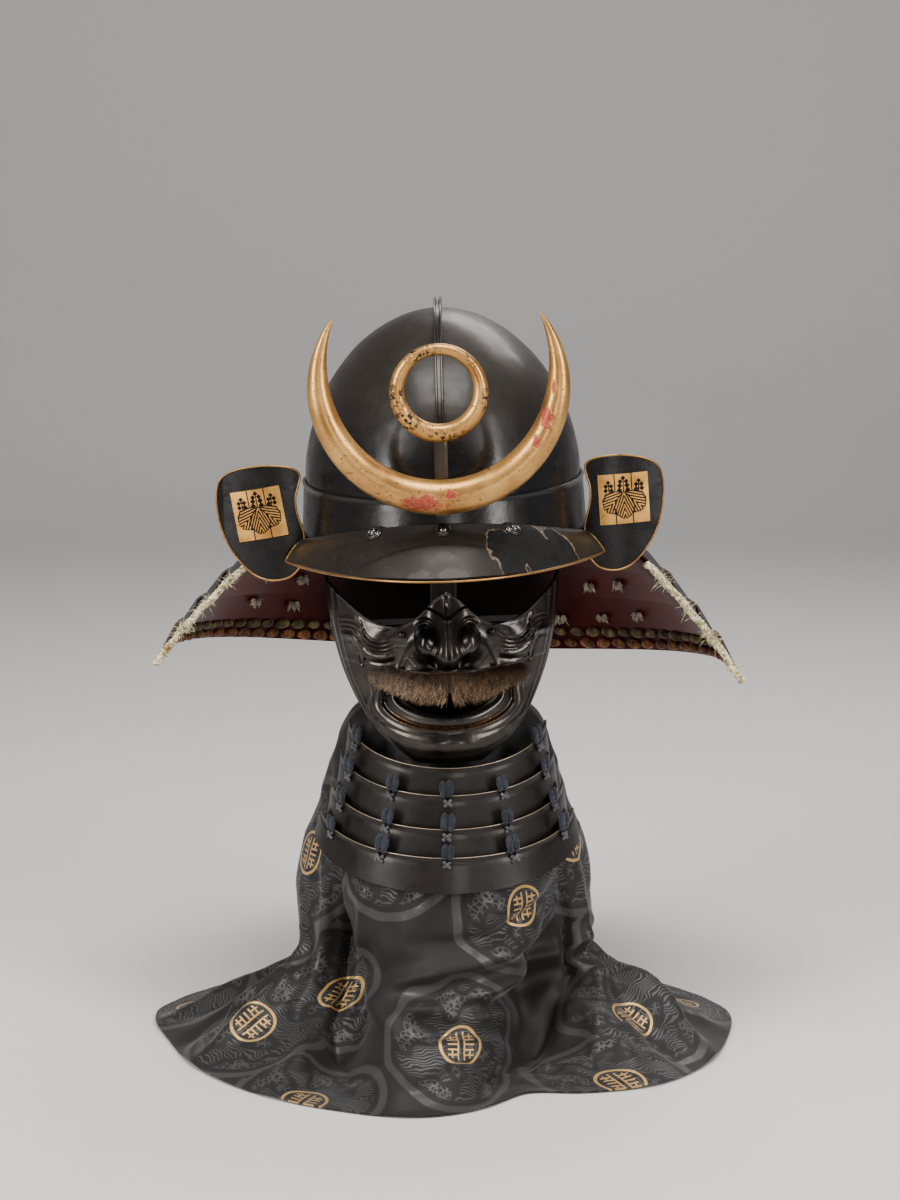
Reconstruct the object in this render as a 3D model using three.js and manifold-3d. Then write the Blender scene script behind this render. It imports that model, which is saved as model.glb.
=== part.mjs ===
// Samurai helmet with its face mask and throat guard, on the cloth-covered stand that holds it.
// Millimetres, +Z up. The origin is the middle of the stand's foot on the floor, and the helmet faces -Y.
// A depth is measured forward of the axis, so a point of depth d has y = -d.
import * as THREE from 'three';
import { mergeVertices } from 'three/addons/utils/BufferGeometryUtils.js';
import Module from 'manifold-3d';

const wasm = await Module();
wasm.setup();

const TAU = Math.PI * 2;
const radians = THREE.MathUtils.degToRad;
const lerp = THREE.MathUtils.lerp;
const gap = 0.35;

// How the pieces stand: the helmet leans on its stand, and the mask looks a little to one side
const helmetRoll = radians(-1.8);
const helmetPivotZ = 420;
const maskTurn = radians(3);
const maskRoll = radians(-1.4);
const maskShiftX = -2;
const maskPivotZ = 320;

// Bowl, its standing ridge and the band round the brow
const bowl = { halfWidth: 103, halfLength: 125, lipZ: 428, rise: 125, wall: 2.4 };
const bowlPower = { height: 1.9, width: 0.52 };
const ridge = { thick: 6, proud: 8, frontZ: 452, backZ: 440 };
const band = { topHalfWidth: 104.5, footHalfWidth: 107, longer: 22, wall: 2.5, sideZ: 385, arch: 27, archPower: 1.5 };
const bandUnderPeak = 7;

// Peak: from the brow arch to a rim that lies level
const peak = { wall: 2.2, innerAngle: radians(66), halfWidth: 116, cornerDepth: 63, reach: 102, rimZ: 378, crown: 3.5 };
const peakRimRadius = 1.3;
const rivet = { radius: 4.6, height: 3, angle: radians(25), fall: 0.16 };

// Crest: a flat holder that carries the ring and the crescent
const holder = { width: 9.5, thick: 3, front: 136, footTopZ: 424, topZ: 482 };
const crescent = { outerZ: 513, outerRadius: 91.5, innerZ: 521, innerRadius: 75, reach: radians(124), taperFrom: radians(72) };
const ring = { centreZ: 507, radius: 29.1, tube: 5.3, tubeSwell: 1.2 };

// Turn-back plates beside the brow: height, distance of the inner and outer edge from the axis
const turnBackRows = [
  { z: 366, inner: 117, outer: 125 },
  { z: 370, inner: 109, outer: 136 },
  { z: 380, inner: 104, outer: 147 },
  { z: 399, inner: 101, outer: 157 },
  { z: 418, inner: 106, outer: 162 },
  { z: 432, inner: 108, outer: 163 },
  { z: 442, inner: 111, outer: 159 },
  { z: 448, inner: 121, outer: 146 },
];
const turnBack = { wall: 2, depth: 56, innerBend: 6, sweep: 12 };

// Neck guard: half width, half length and height of its surface from the bowl down to the rim
const neckRows = [
  { t: 0, side: 110, back: 132, sideZ: 388, backZ: 386 },
  { t: 0.22, side: 146, back: 151, sideZ: 367, backZ: 359 },
  { t: 0.5, side: 178, back: 171, sideZ: 335, backZ: 322 },
  { t: 0.75, side: 200, back: 187, sideZ: 309, backZ: 287 },
  { t: 1, side: 219, back: 200, sideZ: 283, backZ: 252 },
];
const neckLames = 5;
const neck = { wall: 1.6, lap: 0.05, lapLift: 4, endDepthTop: 40, endDepthRim: 40, frontFlat: 0.35, droop: 14 };
const edgeCord = { radius: 2.6, from: 0.22 };
const knotBand = { from: 0.87, to: 0.985, thick: 4.5 };

// Mask: half width, depth of the middle and depth of the back edge at each height
const maskRows = [
  { z: 229, half: 24, front: 94, side: 84 },
  { z: 236, half: 34, front: 103, side: 78 },
  { z: 248, half: 49, front: 108, side: 68 },
  { z: 262, half: 60, front: 104, side: 57 },
  { z: 280, half: 70, front: 99, side: 44 },
  { z: 300, half: 77.5, front: 97, side: 36 },
  { z: 331, half: 84, front: 95, side: 34 },
  { z: 362, half: 87, front: 90, side: 34 },
];
const mask = { wall: 2.2, round: 0.8, crowd: 0.45 };
// Upper edge of the mask, from the nose bridge out under the eyes to the temples
const eyeRows = [
  { x: 0, z: 357 },
  { x: 9, z: 350 },
  { x: 22, z: 338 },
  { x: 38, z: 331 },
  { x: 58, z: 336 },
  { x: 74, z: 348 },
  { x: 87, z: 360 },
];
// Nose: how far it stands forward and its half width at each height
const noseRows = [
  { z: 299, proud: 0, half: 15 },
  { z: 304, proud: 10, half: 13 },
  { z: 309, proud: 25, half: 12 },
  { z: 316, proud: 27, half: 11 },
  { z: 330, proud: 19, half: 9 },
  { z: 344, proud: 11, half: 8 },
  { z: 360, proud: 7, half: 7 },
];
// Raised and sunk places of the face, mirrored left to right
const faceForms = [
  { x: 16, z: 316, halfX: 8, halfZ: 8, proud: 11 },
  { x: 55, z: 322, halfX: 17, halfZ: 9, proud: 5 },
  { x: 36, z: 303, halfX: 10, halfZ: 16, proud: -3 },
  { x: 0, z: 289, halfX: 34, halfZ: 8, proud: 4 },
  { x: 0, z: 262, halfX: 32, halfZ: 5, proud: 3 },
  { x: 12, z: 244, halfX: 15, halfZ: 8, proud: 3 },
];
const mouth = { half: 39, cornerZ: 280, lowerZ: 252, upperZ: 285 };
const nosePiece = { half: 37.5, sideZ: 317, footHalf: 23, footZ: 301 };
const pin = { radius: 2.6, length: 4.5, x: 33, z: 325.5, turn: 20, clear: 1.3 };
const moustache = { half: 55, topZ: 297, topEndZ: 305, footZ: 277, footEndZ: 283, locks: 18, thick: 6, lockDepth: 1.6 };

// Throat guard lames: height of the upper and lower edge at the middle and at the ends, and their reach
const throatRows = [
  { topZ: 226.5, endZ: 250, footZ: 200, footEndZ: 217, half: 74, front: 101, spread: 3 },
  { topZ: 208, endZ: 226, footZ: 177, footEndZ: 194, half: 80, front: 109, spread: 3.5 },
  { topZ: 185, endZ: 203, footZ: 158, footEndZ: 173, half: 87, front: 117.5, spread: 4 },
  { topZ: 166, endZ: 182, footZ: 141, footEndZ: 164, half: 95, front: 126, spread: 5 },
];
const throat = { wall: 1.8, endDepth: 38, shiftX: 3 };

// Stand: radius and height of the foot with its padded block, and of the post with the pad under the crown
const standRows = [
  { radius: 0, z: 0 },
  { radius: 82, z: 0 },
  { radius: 82, z: 10 },
  { radius: 54, z: 16 },
  { radius: 54, z: 232 },
  { radius: 38, z: 246 },
  { radius: 0, z: 246 },
];
const postRows = [
  { radius: 0, z: 246.4 },
  { radius: 10, z: 246.4 },
  { radius: 10, z: 532 },
  { radius: 24, z: 538 },
  { radius: 22, z: 543 },
  { radius: 12, z: 547.4 },
  { radius: 0, z: 549.6 },
];
// Bar across the post that the back edges of the mask lean on
const maskBar = { half: 84, depth: 33.4, thick: 22, height: 6, z: 318 };

// Cloth cover, from the post down to the hem: reach of the cloth to the side, the front and the back
const cloth = { wall: 2, floorGap: 0.2 };
const coverRows = [
  { v: 0, z: 262, side: 17, front: 17, back: 17, fold: 0, lift: 0 },
  { v: 0.08, z: 258, side: 52, front: 44, back: 48, fold: 1, lift: 0 },
  { v: 0.16, z: 244, side: 71, front: 60, back: 68, fold: 2, lift: 0 },
  { v: 0.28, z: 212, side: 83, front: 71, back: 80, fold: 3, lift: 0 },
  { v: 0.38, z: 176, side: 92, front: 88, back: 90, fold: 5, lift: 0 },
  { v: 0.48, z: 136, side: 106, front: 112, back: 98, fold: 6, lift: 0 },
  { v: 0.58, z: 98, side: 103, front: 117, back: 102, fold: 12, lift: 0 },
  { v: 0.66, z: 68, side: 97, front: 115, back: 104, fold: 18, lift: 1 },
  { v: 0.74, z: 42, side: 112, front: 126, back: 114, fold: 20, lift: 8 },
  { v: 0.82, z: 24, side: 144, front: 148, back: 134, fold: 15, lift: 14 },
  { v: 0.91, z: 10, side: 184, front: 178, back: 160, fold: 8, lift: 8 },
  { v: 1, z: 2.2, side: 221, front: 206, back: 186, fold: 5, lift: 0.4 },
];
// Folds of the cloth: bearing from the front at the waist and at the hem, spread in degrees, hollow below zero
const folds = [
  { waist: -54, hem: -20, spread: 13, depth: -1.3 },
  { waist: 60, hem: 16, spread: 14, depth: -1.35 },
  { waist: 4, hem: -4, spread: 24, depth: 0.7 },
  { waist: -80, hem: -62, spread: 20, depth: 0.9 },
  { waist: 86, hem: 58, spread: 18, depth: 0.9 },
  { waist: -112, hem: -104, spread: 11, depth: -0.7 },
  { waist: 118, hem: 100, spread: 11, depth: -0.8 },
  { waist: 146, hem: 136, spread: 15, depth: 0.8 },
  { waist: -148, hem: -140, spread: 15, depth: 0.8 },
  { waist: 178, hem: 176, spread: 14, depth: -0.8 },
];

const finishes = {
  lacquer: { color: 0x15130f, roughness: 0.35, metalness: 0.2 },
  redLacquer: { color: 0x3c0d0c, roughness: 0.3, metalness: 0.1 },
  gold: { color: 0xb98f52, roughness: 0.45, metalness: 0.6 },
  rimGold: { color: 0xa9824e, roughness: 0.5, metalness: 0.5 },
  iron: { color: 0x1d1a17, roughness: 0.3, metalness: 0.7 },
  cord: { color: 0xcbbf98, roughness: 0.9, metalness: 0 },
  knots: { color: 0x6d4a26, roughness: 0.85, metalness: 0 },
  hair: { color: 0x6b4d33, roughness: 0.8, metalness: 0 },
  silk: { color: 0x1f1d1d, roughness: 0.75, metalness: 0 },
  wood: { color: 0x7a5a3a, roughness: 0.7, metalness: 0 },
};

// Value of a table's column at a place along it, on a smooth curve through the rows
function sample(rows, along, column, place) {
  let k = 0;
  while (k < rows.length - 2 && place > rows[k + 1][along]) k += 1;
  const slope = (i) => {
    const before = rows[Math.max(i - 1, 0)];
    const after = rows[Math.min(i + 1, rows.length - 1)];
    return (after[column] - before[column]) / (after[along] - before[along]);
  };
  const step = rows[k + 1][along] - rows[k][along];
  const s = THREE.MathUtils.clamp((place - rows[k][along]) / step, 0, 1);
  const ends = rows[k][column] * (2 * s ** 3 - 3 * s ** 2 + 1) + rows[k + 1][column] * (3 * s ** 2 - 2 * s ** 3);
  return ends + step * (slope(k) * (s ** 3 - 2 * s ** 2 + s) + slope(k + 1) * (s ** 3 - s ** 2));
}

function hump(offset, spread) {
  return Math.exp(-((offset / spread) ** 2));
}

// Turns the triangles of a closed geometry so that its faces point out
function outward(geometry) {
  const { position } = geometry.attributes;
  const corners = geometry.index.array;
  const [a, b, c] = [new THREE.Vector3(), new THREE.Vector3(), new THREE.Vector3()];
  let volume = 0;
  for (let i = 0; i < corners.length; i += 3) {
    a.fromBufferAttribute(position, corners[i]);
    b.fromBufferAttribute(position, corners[i + 1]);
    c.fromBufferAttribute(position, corners[i + 2]);
    volume += a.dot(b.cross(c));
  }
  if (volume < 0) corners.reverse();
  geometry.computeVertexNormals();
  return geometry;
}

function closedGeometry(positions, indices) {
  const geometry = new THREE.BufferGeometry();
  geometry.setAttribute('position', new THREE.Float32BufferAttribute(positions, 3));
  geometry.setIndex(indices);
  return outward(geometry);
}

// A sheet with a wall: point(u, v, side) gives its outer face for side 0 and its inner face for side 1
function sheetGeometry(across, down, closed, point) {
  const columns = closed ? across : across + 1;
  const positions = [];
  for (const side of [0, 1]) {
    for (let j = 0; j <= down; j += 1) {
      for (let i = 0; i < columns; i += 1) positions.push(...point(i / across, j / down, side).toArray());
    }
  }
  const at = (i, j, side) => (side * (down + 1) + j) * columns + (i % columns);
  const indices = [];
  const quad = (a, b, c, d) => indices.push(a, b, c, a, c, d);
  for (let i = 0; i < across; i += 1) {
    for (let j = 0; j < down; j += 1) {
      quad(at(i, j, 0), at(i + 1, j, 0), at(i + 1, j + 1, 0), at(i, j + 1, 0));
      quad(at(i, j + 1, 1), at(i + 1, j + 1, 1), at(i + 1, j, 1), at(i, j, 1));
    }
    quad(at(i, 0, 1), at(i + 1, 0, 1), at(i + 1, 0, 0), at(i, 0, 0));
    quad(at(i, down, 0), at(i + 1, down, 0), at(i + 1, down, 1), at(i, down, 1));
  }
  for (let j = 0; j < down && !closed; j += 1) {
    quad(at(0, j, 1), at(0, j, 0), at(0, j + 1, 0), at(0, j + 1, 1));
    quad(at(across, j, 0), at(across, j, 1), at(across, j + 1, 1), at(across, j + 1, 0));
  }
  return closedGeometry(positions, indices);
}

// A bar of changing section: point(s, turn) gives its skin. Open bars come to a tip at both ends
function barGeometry(steps, sides, closed, point) {
  const positions = [];
  const rings = closed ? steps : steps - 1;
  for (let i = 0; i < rings; i += 1) {
    for (let k = 0; k < sides; k += 1) {
      const s = (closed ? i : i + 1) / steps;
      positions.push(...point(s, (k / sides) * TAU).toArray());
    }
  }
  const at = (i, k) => (i % rings) * sides + (k % sides);
  const indices = [];
  for (let i = 0; i < (closed ? rings : rings - 1); i += 1) {
    for (let k = 0; k < sides; k += 1) {
      indices.push(at(i, k), at(i + 1, k), at(i + 1, k + 1), at(i, k), at(i + 1, k + 1), at(i, k + 1));
    }
  }
  if (!closed) {
    positions.push(...point(0, 0).toArray(), ...point(1, 0).toArray());
    const first = rings * sides;
    for (let k = 0; k < sides; k += 1) {
      indices.push(first, at(0, k), at(0, k + 1), first + 1, at(rings - 1, k + 1), at(rings - 1, k));
    }
  }
  return closedGeometry(positions, indices);
}

// A round rod of one thickness along hand-placed points
function rodGeometry(points, radius, sides, steps) {
  const section = new THREE.Shape();
  for (let k = 0; k < sides; k += 1) {
    const turn = (k / sides) * TAU;
    if (k === 0) section.moveTo(radius, 0);
    else section.lineTo(radius * Math.cos(turn), radius * Math.sin(turn));
  }
  const path = new THREE.CatmullRomCurve3(points, false, 'centripetal');
  return new THREE.ExtrudeGeometry(section, { steps, bevelEnabled: false, extrudePath: path });
}

function latheGeometry(rows, segments) {
  const profile = rows.map((row) => new THREE.Vector2(row.radius, row.z));
  return outward(new THREE.LatheGeometry(profile, segments).rotateX(Math.PI / 2));
}

// Solids for joining and cutting, and back to a geometry
function solidOf(geometry) {
  const bare = geometry.clone();
  bare.deleteAttribute('normal');
  bare.deleteAttribute('uv');
  const merged = mergeVertices(bare, 1e-3);
  return new wasm.Manifold(new wasm.Mesh({
    numProp: 3,
    vertProperties: new Float32Array(merged.attributes.position.array),
    triVerts: new Uint32Array(merged.index.array),
  }));
}

function geometryOf(solid) {
  const mesh = solid.getMesh();
  const geometry = new THREE.BufferGeometry();
  geometry.setAttribute('position', new THREE.BufferAttribute(mesh.vertProperties, 3));
  geometry.setIndex(new THREE.BufferAttribute(mesh.triVerts, 1));
  geometry.computeVertexNormals();
  return geometry;
}

// A block seen from the front, from its outline across and up, between two depths
function frontPrism(shape, nearDepth, farDepth) {
  const prism = new THREE.ExtrudeGeometry(shape, { depth: nearDepth - farDepth, bevelEnabled: false, curveSegments: 10 });
  return prism.rotateX(Math.PI / 2).translate(0, -farDepth, 0);
}

function piece(name, geometry, finish) {
  const mesh = new THREE.Mesh(geometry, new THREE.MeshStandardMaterial(finish));
  mesh.name = name;
  return mesh;
}

// Stands a piece upright on a surface point(u, v), clear of it by the gap
function standOn(mesh, point, u, v) {
  const step = 0.01;
  const here = point(u, v);
  const across = point(u + step, v).sub(point(u - step, v));
  const down = point(u, v + step).sub(point(u, v - step));
  const normal = across.cross(down).normalize();
  if (normal.y > 0) normal.negate();
  mesh.quaternion.setFromUnitVectors(new THREE.Vector3(0, 0, 1), normal);
  mesh.position.copy(here).addScaledVector(normal, gap);
  return mesh;
}

// Bowl
function bowlWidth(t) {
  return Math.max(0, 1 - t ** bowlPower.height) ** bowlPower.width;
}

function bowlGeometry() {
  const rows = [];
  const steps = 8;
  for (let i = 0; i <= steps; i += 1) {
    const t = Math.cos(((i / steps) * Math.PI) / 2);
    rows.push({ radius: bowl.halfWidth * bowlWidth(t), z: bowl.lipZ + bowl.rise * t });
  }
  for (let i = steps; i >= 0; i -= 1) {
    const t = Math.cos(((i / steps) * Math.PI) / 2);
    rows.push({ radius: (bowl.halfWidth - bowl.wall) * bowlWidth(t), z: bowl.lipZ + (bowl.rise - bowl.wall) * t });
  }
  return latheGeometry(rows, 30).scale(1, bowl.halfLength / bowl.halfWidth, 1);
}

// Side outline of the bowl, raised by a distance: depth and height at t from the lip to the crown
function bowlSide(t, raised) {
  return { depth: (bowl.halfLength + raised) * bowlWidth(t), z: bowl.lipZ + (bowl.rise + raised) * t };
}

function ridgeGeometry() {
  const steps = 12;
  const outline = (raised) => {
    const points = [];
    for (let i = -steps; i <= steps; i += 1) {
      const lowZ = i < 0 ? ridge.frontZ : ridge.backZ;
      const lowT = (lowZ - bowl.lipZ) / bowl.rise;
      const t = Math.sin(lerp(Math.PI / 2, Math.asin(lowT), Math.abs(i) / steps));
      const side = bowlSide(t, raised);
      points.push(new THREE.Vector2(Math.sign(i) * side.depth, side.z));
    }
    return points;
  };
  const shape = new THREE.Shape([...outline(ridge.proud), ...outline(1).reverse()]);
  const fin = new THREE.ExtrudeGeometry(shape, { depth: ridge.thick, bevelEnabled: false });
  return fin.rotateX(Math.PI / 2).rotateZ(Math.PI / 2).translate(-ridge.thick / 2, 0, 0);
}

// Lower edge of the brow band, arched over the face. Bearing 0 is the front
function browZ(bearing) {
  return band.sideZ + band.arch * Math.max(0, Math.cos(bearing)) ** band.archPower;
}

function bandGeometry() {
  return sheetGeometry(36, 1, true, (u, v, side) => {
    const bearing = u * TAU;
    const half = lerp(band.topHalfWidth, band.footHalfWidth, v) - side * band.wall;
    const underPeak = bandUnderPeak * Math.max(0, Math.cos(bearing));
    const z = lerp(bowl.lipZ - gap, browZ(bearing) - underPeak, v);
    return new THREE.Vector3(half * Math.sin(bearing), -(half + band.longer) * Math.cos(bearing), z);
  });
}

// Peak surface: u runs from the left corner to the right one, v from the band to the rim
function peakPoint(u, v, side = 0) {
  const bearing = (2 * u - 1) * peak.innerAngle;
  const turn = ((2 * u - 1) * Math.PI) / 2;
  const inner = band.footHalfWidth + gap + peak.wall;
  const root = new THREE.Vector3(inner * Math.sin(bearing), -(inner + band.longer) * Math.cos(bearing), browZ(bearing));
  const rimDepth = peak.cornerDepth + peak.reach * Math.max(0, Math.cos(turn)) ** 1.7;
  const rim = new THREE.Vector3(peak.halfWidth * Math.sin(turn), -rimDepth, peak.rimZ);
  const point = root.lerp(rim, v);
  point.z += peak.crown * Math.sin(Math.PI * v) - side * peak.wall;
  point.y += side * peak.wall * 0.6 * (1 - v);
  return point;
}

function peakRimGeometry() {
  const points = [];
  const steps = 22;
  const out = peakRimRadius + 1.1;
  for (let i = 0; i <= steps; i += 1) {
    const u = i / steps;
    const rim = peakPoint(u, 1, 0.5);
    const outward = rim.clone().sub(peakPoint(u, 0.7, 0.5)).setZ(0).normalize();
    points.push(rim.addScaledVector(outward, out));
  }
  return rodGeometry(points, peakRimRadius, 6, 32);
}

function rivetGeometry() {
  return latheGeometry([
    { radius: 0, z: 0 },
    { radius: rivet.radius, z: 0 },
    { radius: rivet.radius, z: 0.8 },
    { radius: rivet.radius * 0.6, z: 1 },
    { radius: rivet.radius * 0.5, z: rivet.height * 0.75 },
    { radius: 0, z: rivet.height },
  ], 10);
}

// Crest
function holderGeometry() {
  const bandFront = band.footHalfWidth + band.longer + peak.wall + 1.2;
  const profile = new THREE.Shape([
    new THREE.Vector2(bandFront, holder.footTopZ - 6),
    new THREE.Vector2(holder.front, holder.footTopZ - 6),
    new THREE.Vector2(holder.front, holder.topZ),
    new THREE.Vector2(holder.front - holder.thick, holder.topZ),
    new THREE.Vector2(holder.front - holder.thick, holder.footTopZ),
    new THREE.Vector2(bandFront, holder.footTopZ),
  ]);
  const strip = new THREE.ExtrudeGeometry(profile, { depth: holder.width, bevelEnabled: false });
  return strip.rotateX(Math.PI / 2).rotateZ(-Math.PI / 2).translate(holder.width / 2, 0, 0);
}

function crescentGeometry() {
  const thickest = (crescent.outerRadius - crescent.innerRadius + crescent.innerZ - crescent.outerZ) / 2;
  const depth = holder.front + gap + thickest;
  const lower = crescent.innerZ - crescent.outerZ;
  return barGeometry(28, 8, false, (s, turn) => {
    const bearing = (2 * s - 1) * crescent.reach;
    const rise = -Math.cos(bearing) * lower;
    const inner = rise + Math.sqrt(rise ** 2 + crescent.innerRadius ** 2 - lower ** 2);
    const middle = (crescent.outerRadius + inner) / 2;
    const past = Math.max(0, Math.abs(bearing) - crescent.taperFrom) / (crescent.reach - crescent.taperFrom);
    const thick = ((crescent.outerRadius - inner) / 2) * Math.max(0, 1 - past ** 2) ** 0.75;
    const away = middle + thick * Math.cos(turn);
    return new THREE.Vector3(
      away * Math.sin(bearing),
      -depth - thick * Math.sin(turn),
      crescent.outerZ - away * Math.cos(bearing),
    );
  });
}

function ringGeometry() {
  const depth = holder.front + gap + ring.tube + ring.tubeSwell;
  return barGeometry(24, 8, true, (s, turn) => {
    const bearing = s * TAU;
    const tube = ring.tube + ring.tubeSwell * Math.cos(bearing);
    const away = ring.radius + tube * Math.cos(turn);
    return new THREE.Vector3(
      away * Math.sin(bearing),
      -depth - tube * Math.sin(turn),
      ring.centreZ - away * Math.cos(bearing),
    );
  });
}

// Turn-back plate of one side, +1 right or -1 left
function turnBackGeometry(hand) {
  const low = turnBackRows[0].z;
  const high = turnBackRows[turnBackRows.length - 1].z;
  return sheetGeometry(6, 9, false, (u, v, side) => {
    const z = lerp(low, high, (1 - Math.cos(Math.PI * v)) / 2);
    const x = lerp(sample(turnBackRows, 'z', 'inner', z), sample(turnBackRows, 'z', 'outer', z), u);
    const depth = turnBack.depth - turnBack.innerBend * (1 - u) ** 3 - turnBack.sweep * u ** 2;
    return new THREE.Vector3(hand * x, -depth + side * turnBack.wall, z);
  });
}

// Neck guard surface: u runs from the left front end round the back to the right, t down to the rim
function neckPoint(u, t, raised) {
  const side = sample(neckRows, 't', 'side', t) + raised * 0.65;
  const back = sample(neckRows, 't', 'back', t) + raised * 0.65;
  const endDepth = lerp(neck.endDepthTop, neck.endDepthRim, t);
  const furthest = Math.PI / 2 + Math.asin(endDepth / back);
  const bearing = (2 * u - 1) * furthest;
  const reach = Math.abs(Math.sin(bearing));
  const beside = Math.abs(bearing) > Math.PI / 2 ? reach ** neck.frontFlat : reach;
  const x = Math.sign(bearing) * side * beside;
  const toBack = Math.max(0, Math.cos(bearing)) ** 2;
  const z = lerp(sample(neckRows, 't', 'sideZ', t), sample(neckRows, 't', 'backZ', t), toBack) + raised * 0.76;
  return new THREE.Vector3(x, back * Math.cos(bearing), z - (neck.droop * t * x) / side);
}

function neckLameGeometry(k) {
  const top = k / neckLames;
  const foot = Math.min(1, (k + 1) / neckLames + neck.lap);
  return sheetGeometry(28, 1, false, (u, v, side) => {
    const lapped = k === 0 ? 0 : neck.lapLift * (1 - v);
    return neckPoint(u, lerp(top, foot, v), lapped + (1 - side) * neck.wall);
  });
}

function edgeCordGeometry(end) {
  const points = [];
  const steps = 6;
  for (let i = 0; i <= steps; i += 1) {
    const point = neckPoint(end, lerp(edgeCord.from, 1, i / steps), neck.wall);
    points.push(point.add(new THREE.Vector3(0, -edgeCord.radius - 1.2, 0)));
  }
  return rodGeometry(points, edgeCord.radius, 7, 14);
}

function knotBandGeometry() {
  return sheetGeometry(28, 1, false, (u, v, side) => {
    const lame = lerp(0.06, 0.94, u);
    const t = lerp(knotBand.from, knotBand.to, v);
    const slant = neck.lapLift * neckLames * (1 - t);
    return neckPoint(lame, t, slant - 1.2 - side * knotBand.thick);
  });
}

// Mask surface: u runs from the left edge to the right one, v from the eye edge down to the chin
function facePoint(u, v, side = 0) {
  const even = 2 * u - 1;
  const turn = (Math.PI / 2) * ((1 - mask.crowd) * even + mask.crowd * even ** 3);
  const eyeZ = sample(eyeRows, 'x', 'z', 87 * Math.abs(Math.sin(turn)));
  const z = lerp(eyeZ, maskRows[0].z, v);
  const half = sample(maskRows, 'z', 'half', z) - side * mask.wall;
  const back = sample(maskRows, 'z', 'side', z);
  const front = sample(maskRows, 'z', 'front', z) - side * mask.wall;
  const x = half * Math.sin(turn);
  const round = Math.max(0, Math.cos(turn)) ** mask.round;
  let depth = lerp(back, front, round);
  depth += sample(noseRows, 'z', 'proud', z) * hump(x, sample(noseRows, 'z', 'half', z));
  for (const form of faceForms) {
    const place = form.x === 0 ? x : Math.abs(x) - form.x;
    depth += form.proud * hump(place, form.halfX) * hump(z - form.z, form.halfZ) * Math.min(1, round * 2);
  }
  return new THREE.Vector3(x, -depth, z);
}

function nosePieceShape(inset) {
  const half = nosePiece.half - inset;
  const footHalf = nosePiece.footHalf - inset;
  const above = 380;
  return new THREE.Shape([
    new THREE.Vector2(-half, above),
    new THREE.Vector2(-half, nosePiece.sideZ),
    new THREE.Vector2(-footHalf, nosePiece.footZ + inset),
    new THREE.Vector2(footHalf, nosePiece.footZ + inset),
    new THREE.Vector2(half, nosePiece.sideZ),
    new THREE.Vector2(half, above),
  ]);
}

function maskGeometries() {
  const face = solidOf(sheetGeometry(28, 15, false, facePoint));
  const near = 170;
  const far = 50;
  const slit = new THREE.Shape();
  slit.moveTo(-mouth.half, mouth.cornerZ);
  slit.quadraticCurveTo(0, mouth.lowerZ, mouth.half, mouth.cornerZ);
  slit.quadraticCurveTo(0, mouth.upperZ, -mouth.half, mouth.cornerZ);
  const notch = solidOf(frontPrism(nosePieceShape(0), near, far));
  const plug = solidOf(frontPrism(nosePieceShape(gap), near, far));
  const shell = face.subtract(notch).subtract(solidOf(frontPrism(slit, near, far)));
  return { shell: geometryOf(shell), nose: geometryOf(face.intersect(plug)) };
}

function pinGeometry() {
  return latheGeometry([
    { radius: 0, z: 0 },
    { radius: pin.radius, z: 0 },
    { radius: pin.radius, z: pin.length * 0.7 },
    { radius: pin.radius * 0.6, z: pin.length },
    { radius: 0, z: pin.length },
  ], 8);
}

// Depth of the mask at a place across and up, found along its surface
function faceDepth(x, z) {
  const turn = Math.asin(THREE.MathUtils.clamp(x / sample(maskRows, 'z', 'half', z), -1, 1));
  const eyeZ = sample(eyeRows, 'x', 'z', 87 * Math.abs(Math.sin(turn)));
  let low = 0;
  let high = 1;
  for (let k = 0; k < 24; k += 1) {
    const middle = (low + high) / 2;
    const even = 2 * middle - 1;
    const reached = (Math.PI / 2) * ((1 - mask.crowd) * even + mask.crowd * even ** 3);
    if (reached < turn) low = middle;
    else high = middle;
  }
  return -facePoint(low, (eyeZ - z) / (eyeZ - maskRows[0].z)).y;
}

// Moustache: locks of hair fused side by side to one backing
function moustacheGeometry() {
  const columns = moustache.locks * 2;
  return sheetGeometry(columns, 2, false, (u, v, side) => {
    const out = 2 * u - 1;
    const x = out * moustache.half;
    const inLock = Math.round(u * columns) % 2;
    const topZ = lerp(moustache.topZ, moustache.topEndZ, out ** 2);
    const footZ = lerp(moustache.footZ, moustache.footEndZ, out ** 2) - inLock * 1.5;
    const z = lerp(topZ, footZ, v);
    const thick = 1.5 + (moustache.thick * Math.sin(v * 2.2) + inLock * moustache.lockDepth) * (1 - 0.6 * out ** 4);
    const lean = x * (1 + 0.06 * v);
    const flat = Math.max(faceDepth(x, z), faceDepth(x, z - 3), faceDepth(x, z + 3));
    return new THREE.Vector3(lean, -(flat + 2.6 + (1 - side) * thick), z);
  });
}

// Throat guard lame, a band bent round the front of the neck
function throatLameGeometry(row) {
  return sheetGeometry(16, 1, false, (u, v, side) => {
    const turn = ((2 * u - 1) * Math.PI) / 2;
    const level = Math.cos(turn);
    const top = lerp(row.endZ, row.topZ, level);
    const foot = lerp(row.footEndZ, row.footZ, level);
    const wall = side * throat.wall;
    const half = row.half + v * row.spread - wall;
    const front = row.front + v * row.spread - wall;
    const depth = lerp(throat.endDepth, front, level);
    return new THREE.Vector3(half * Math.sin(turn), -depth, lerp(top, foot, v));
  });
}

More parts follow.
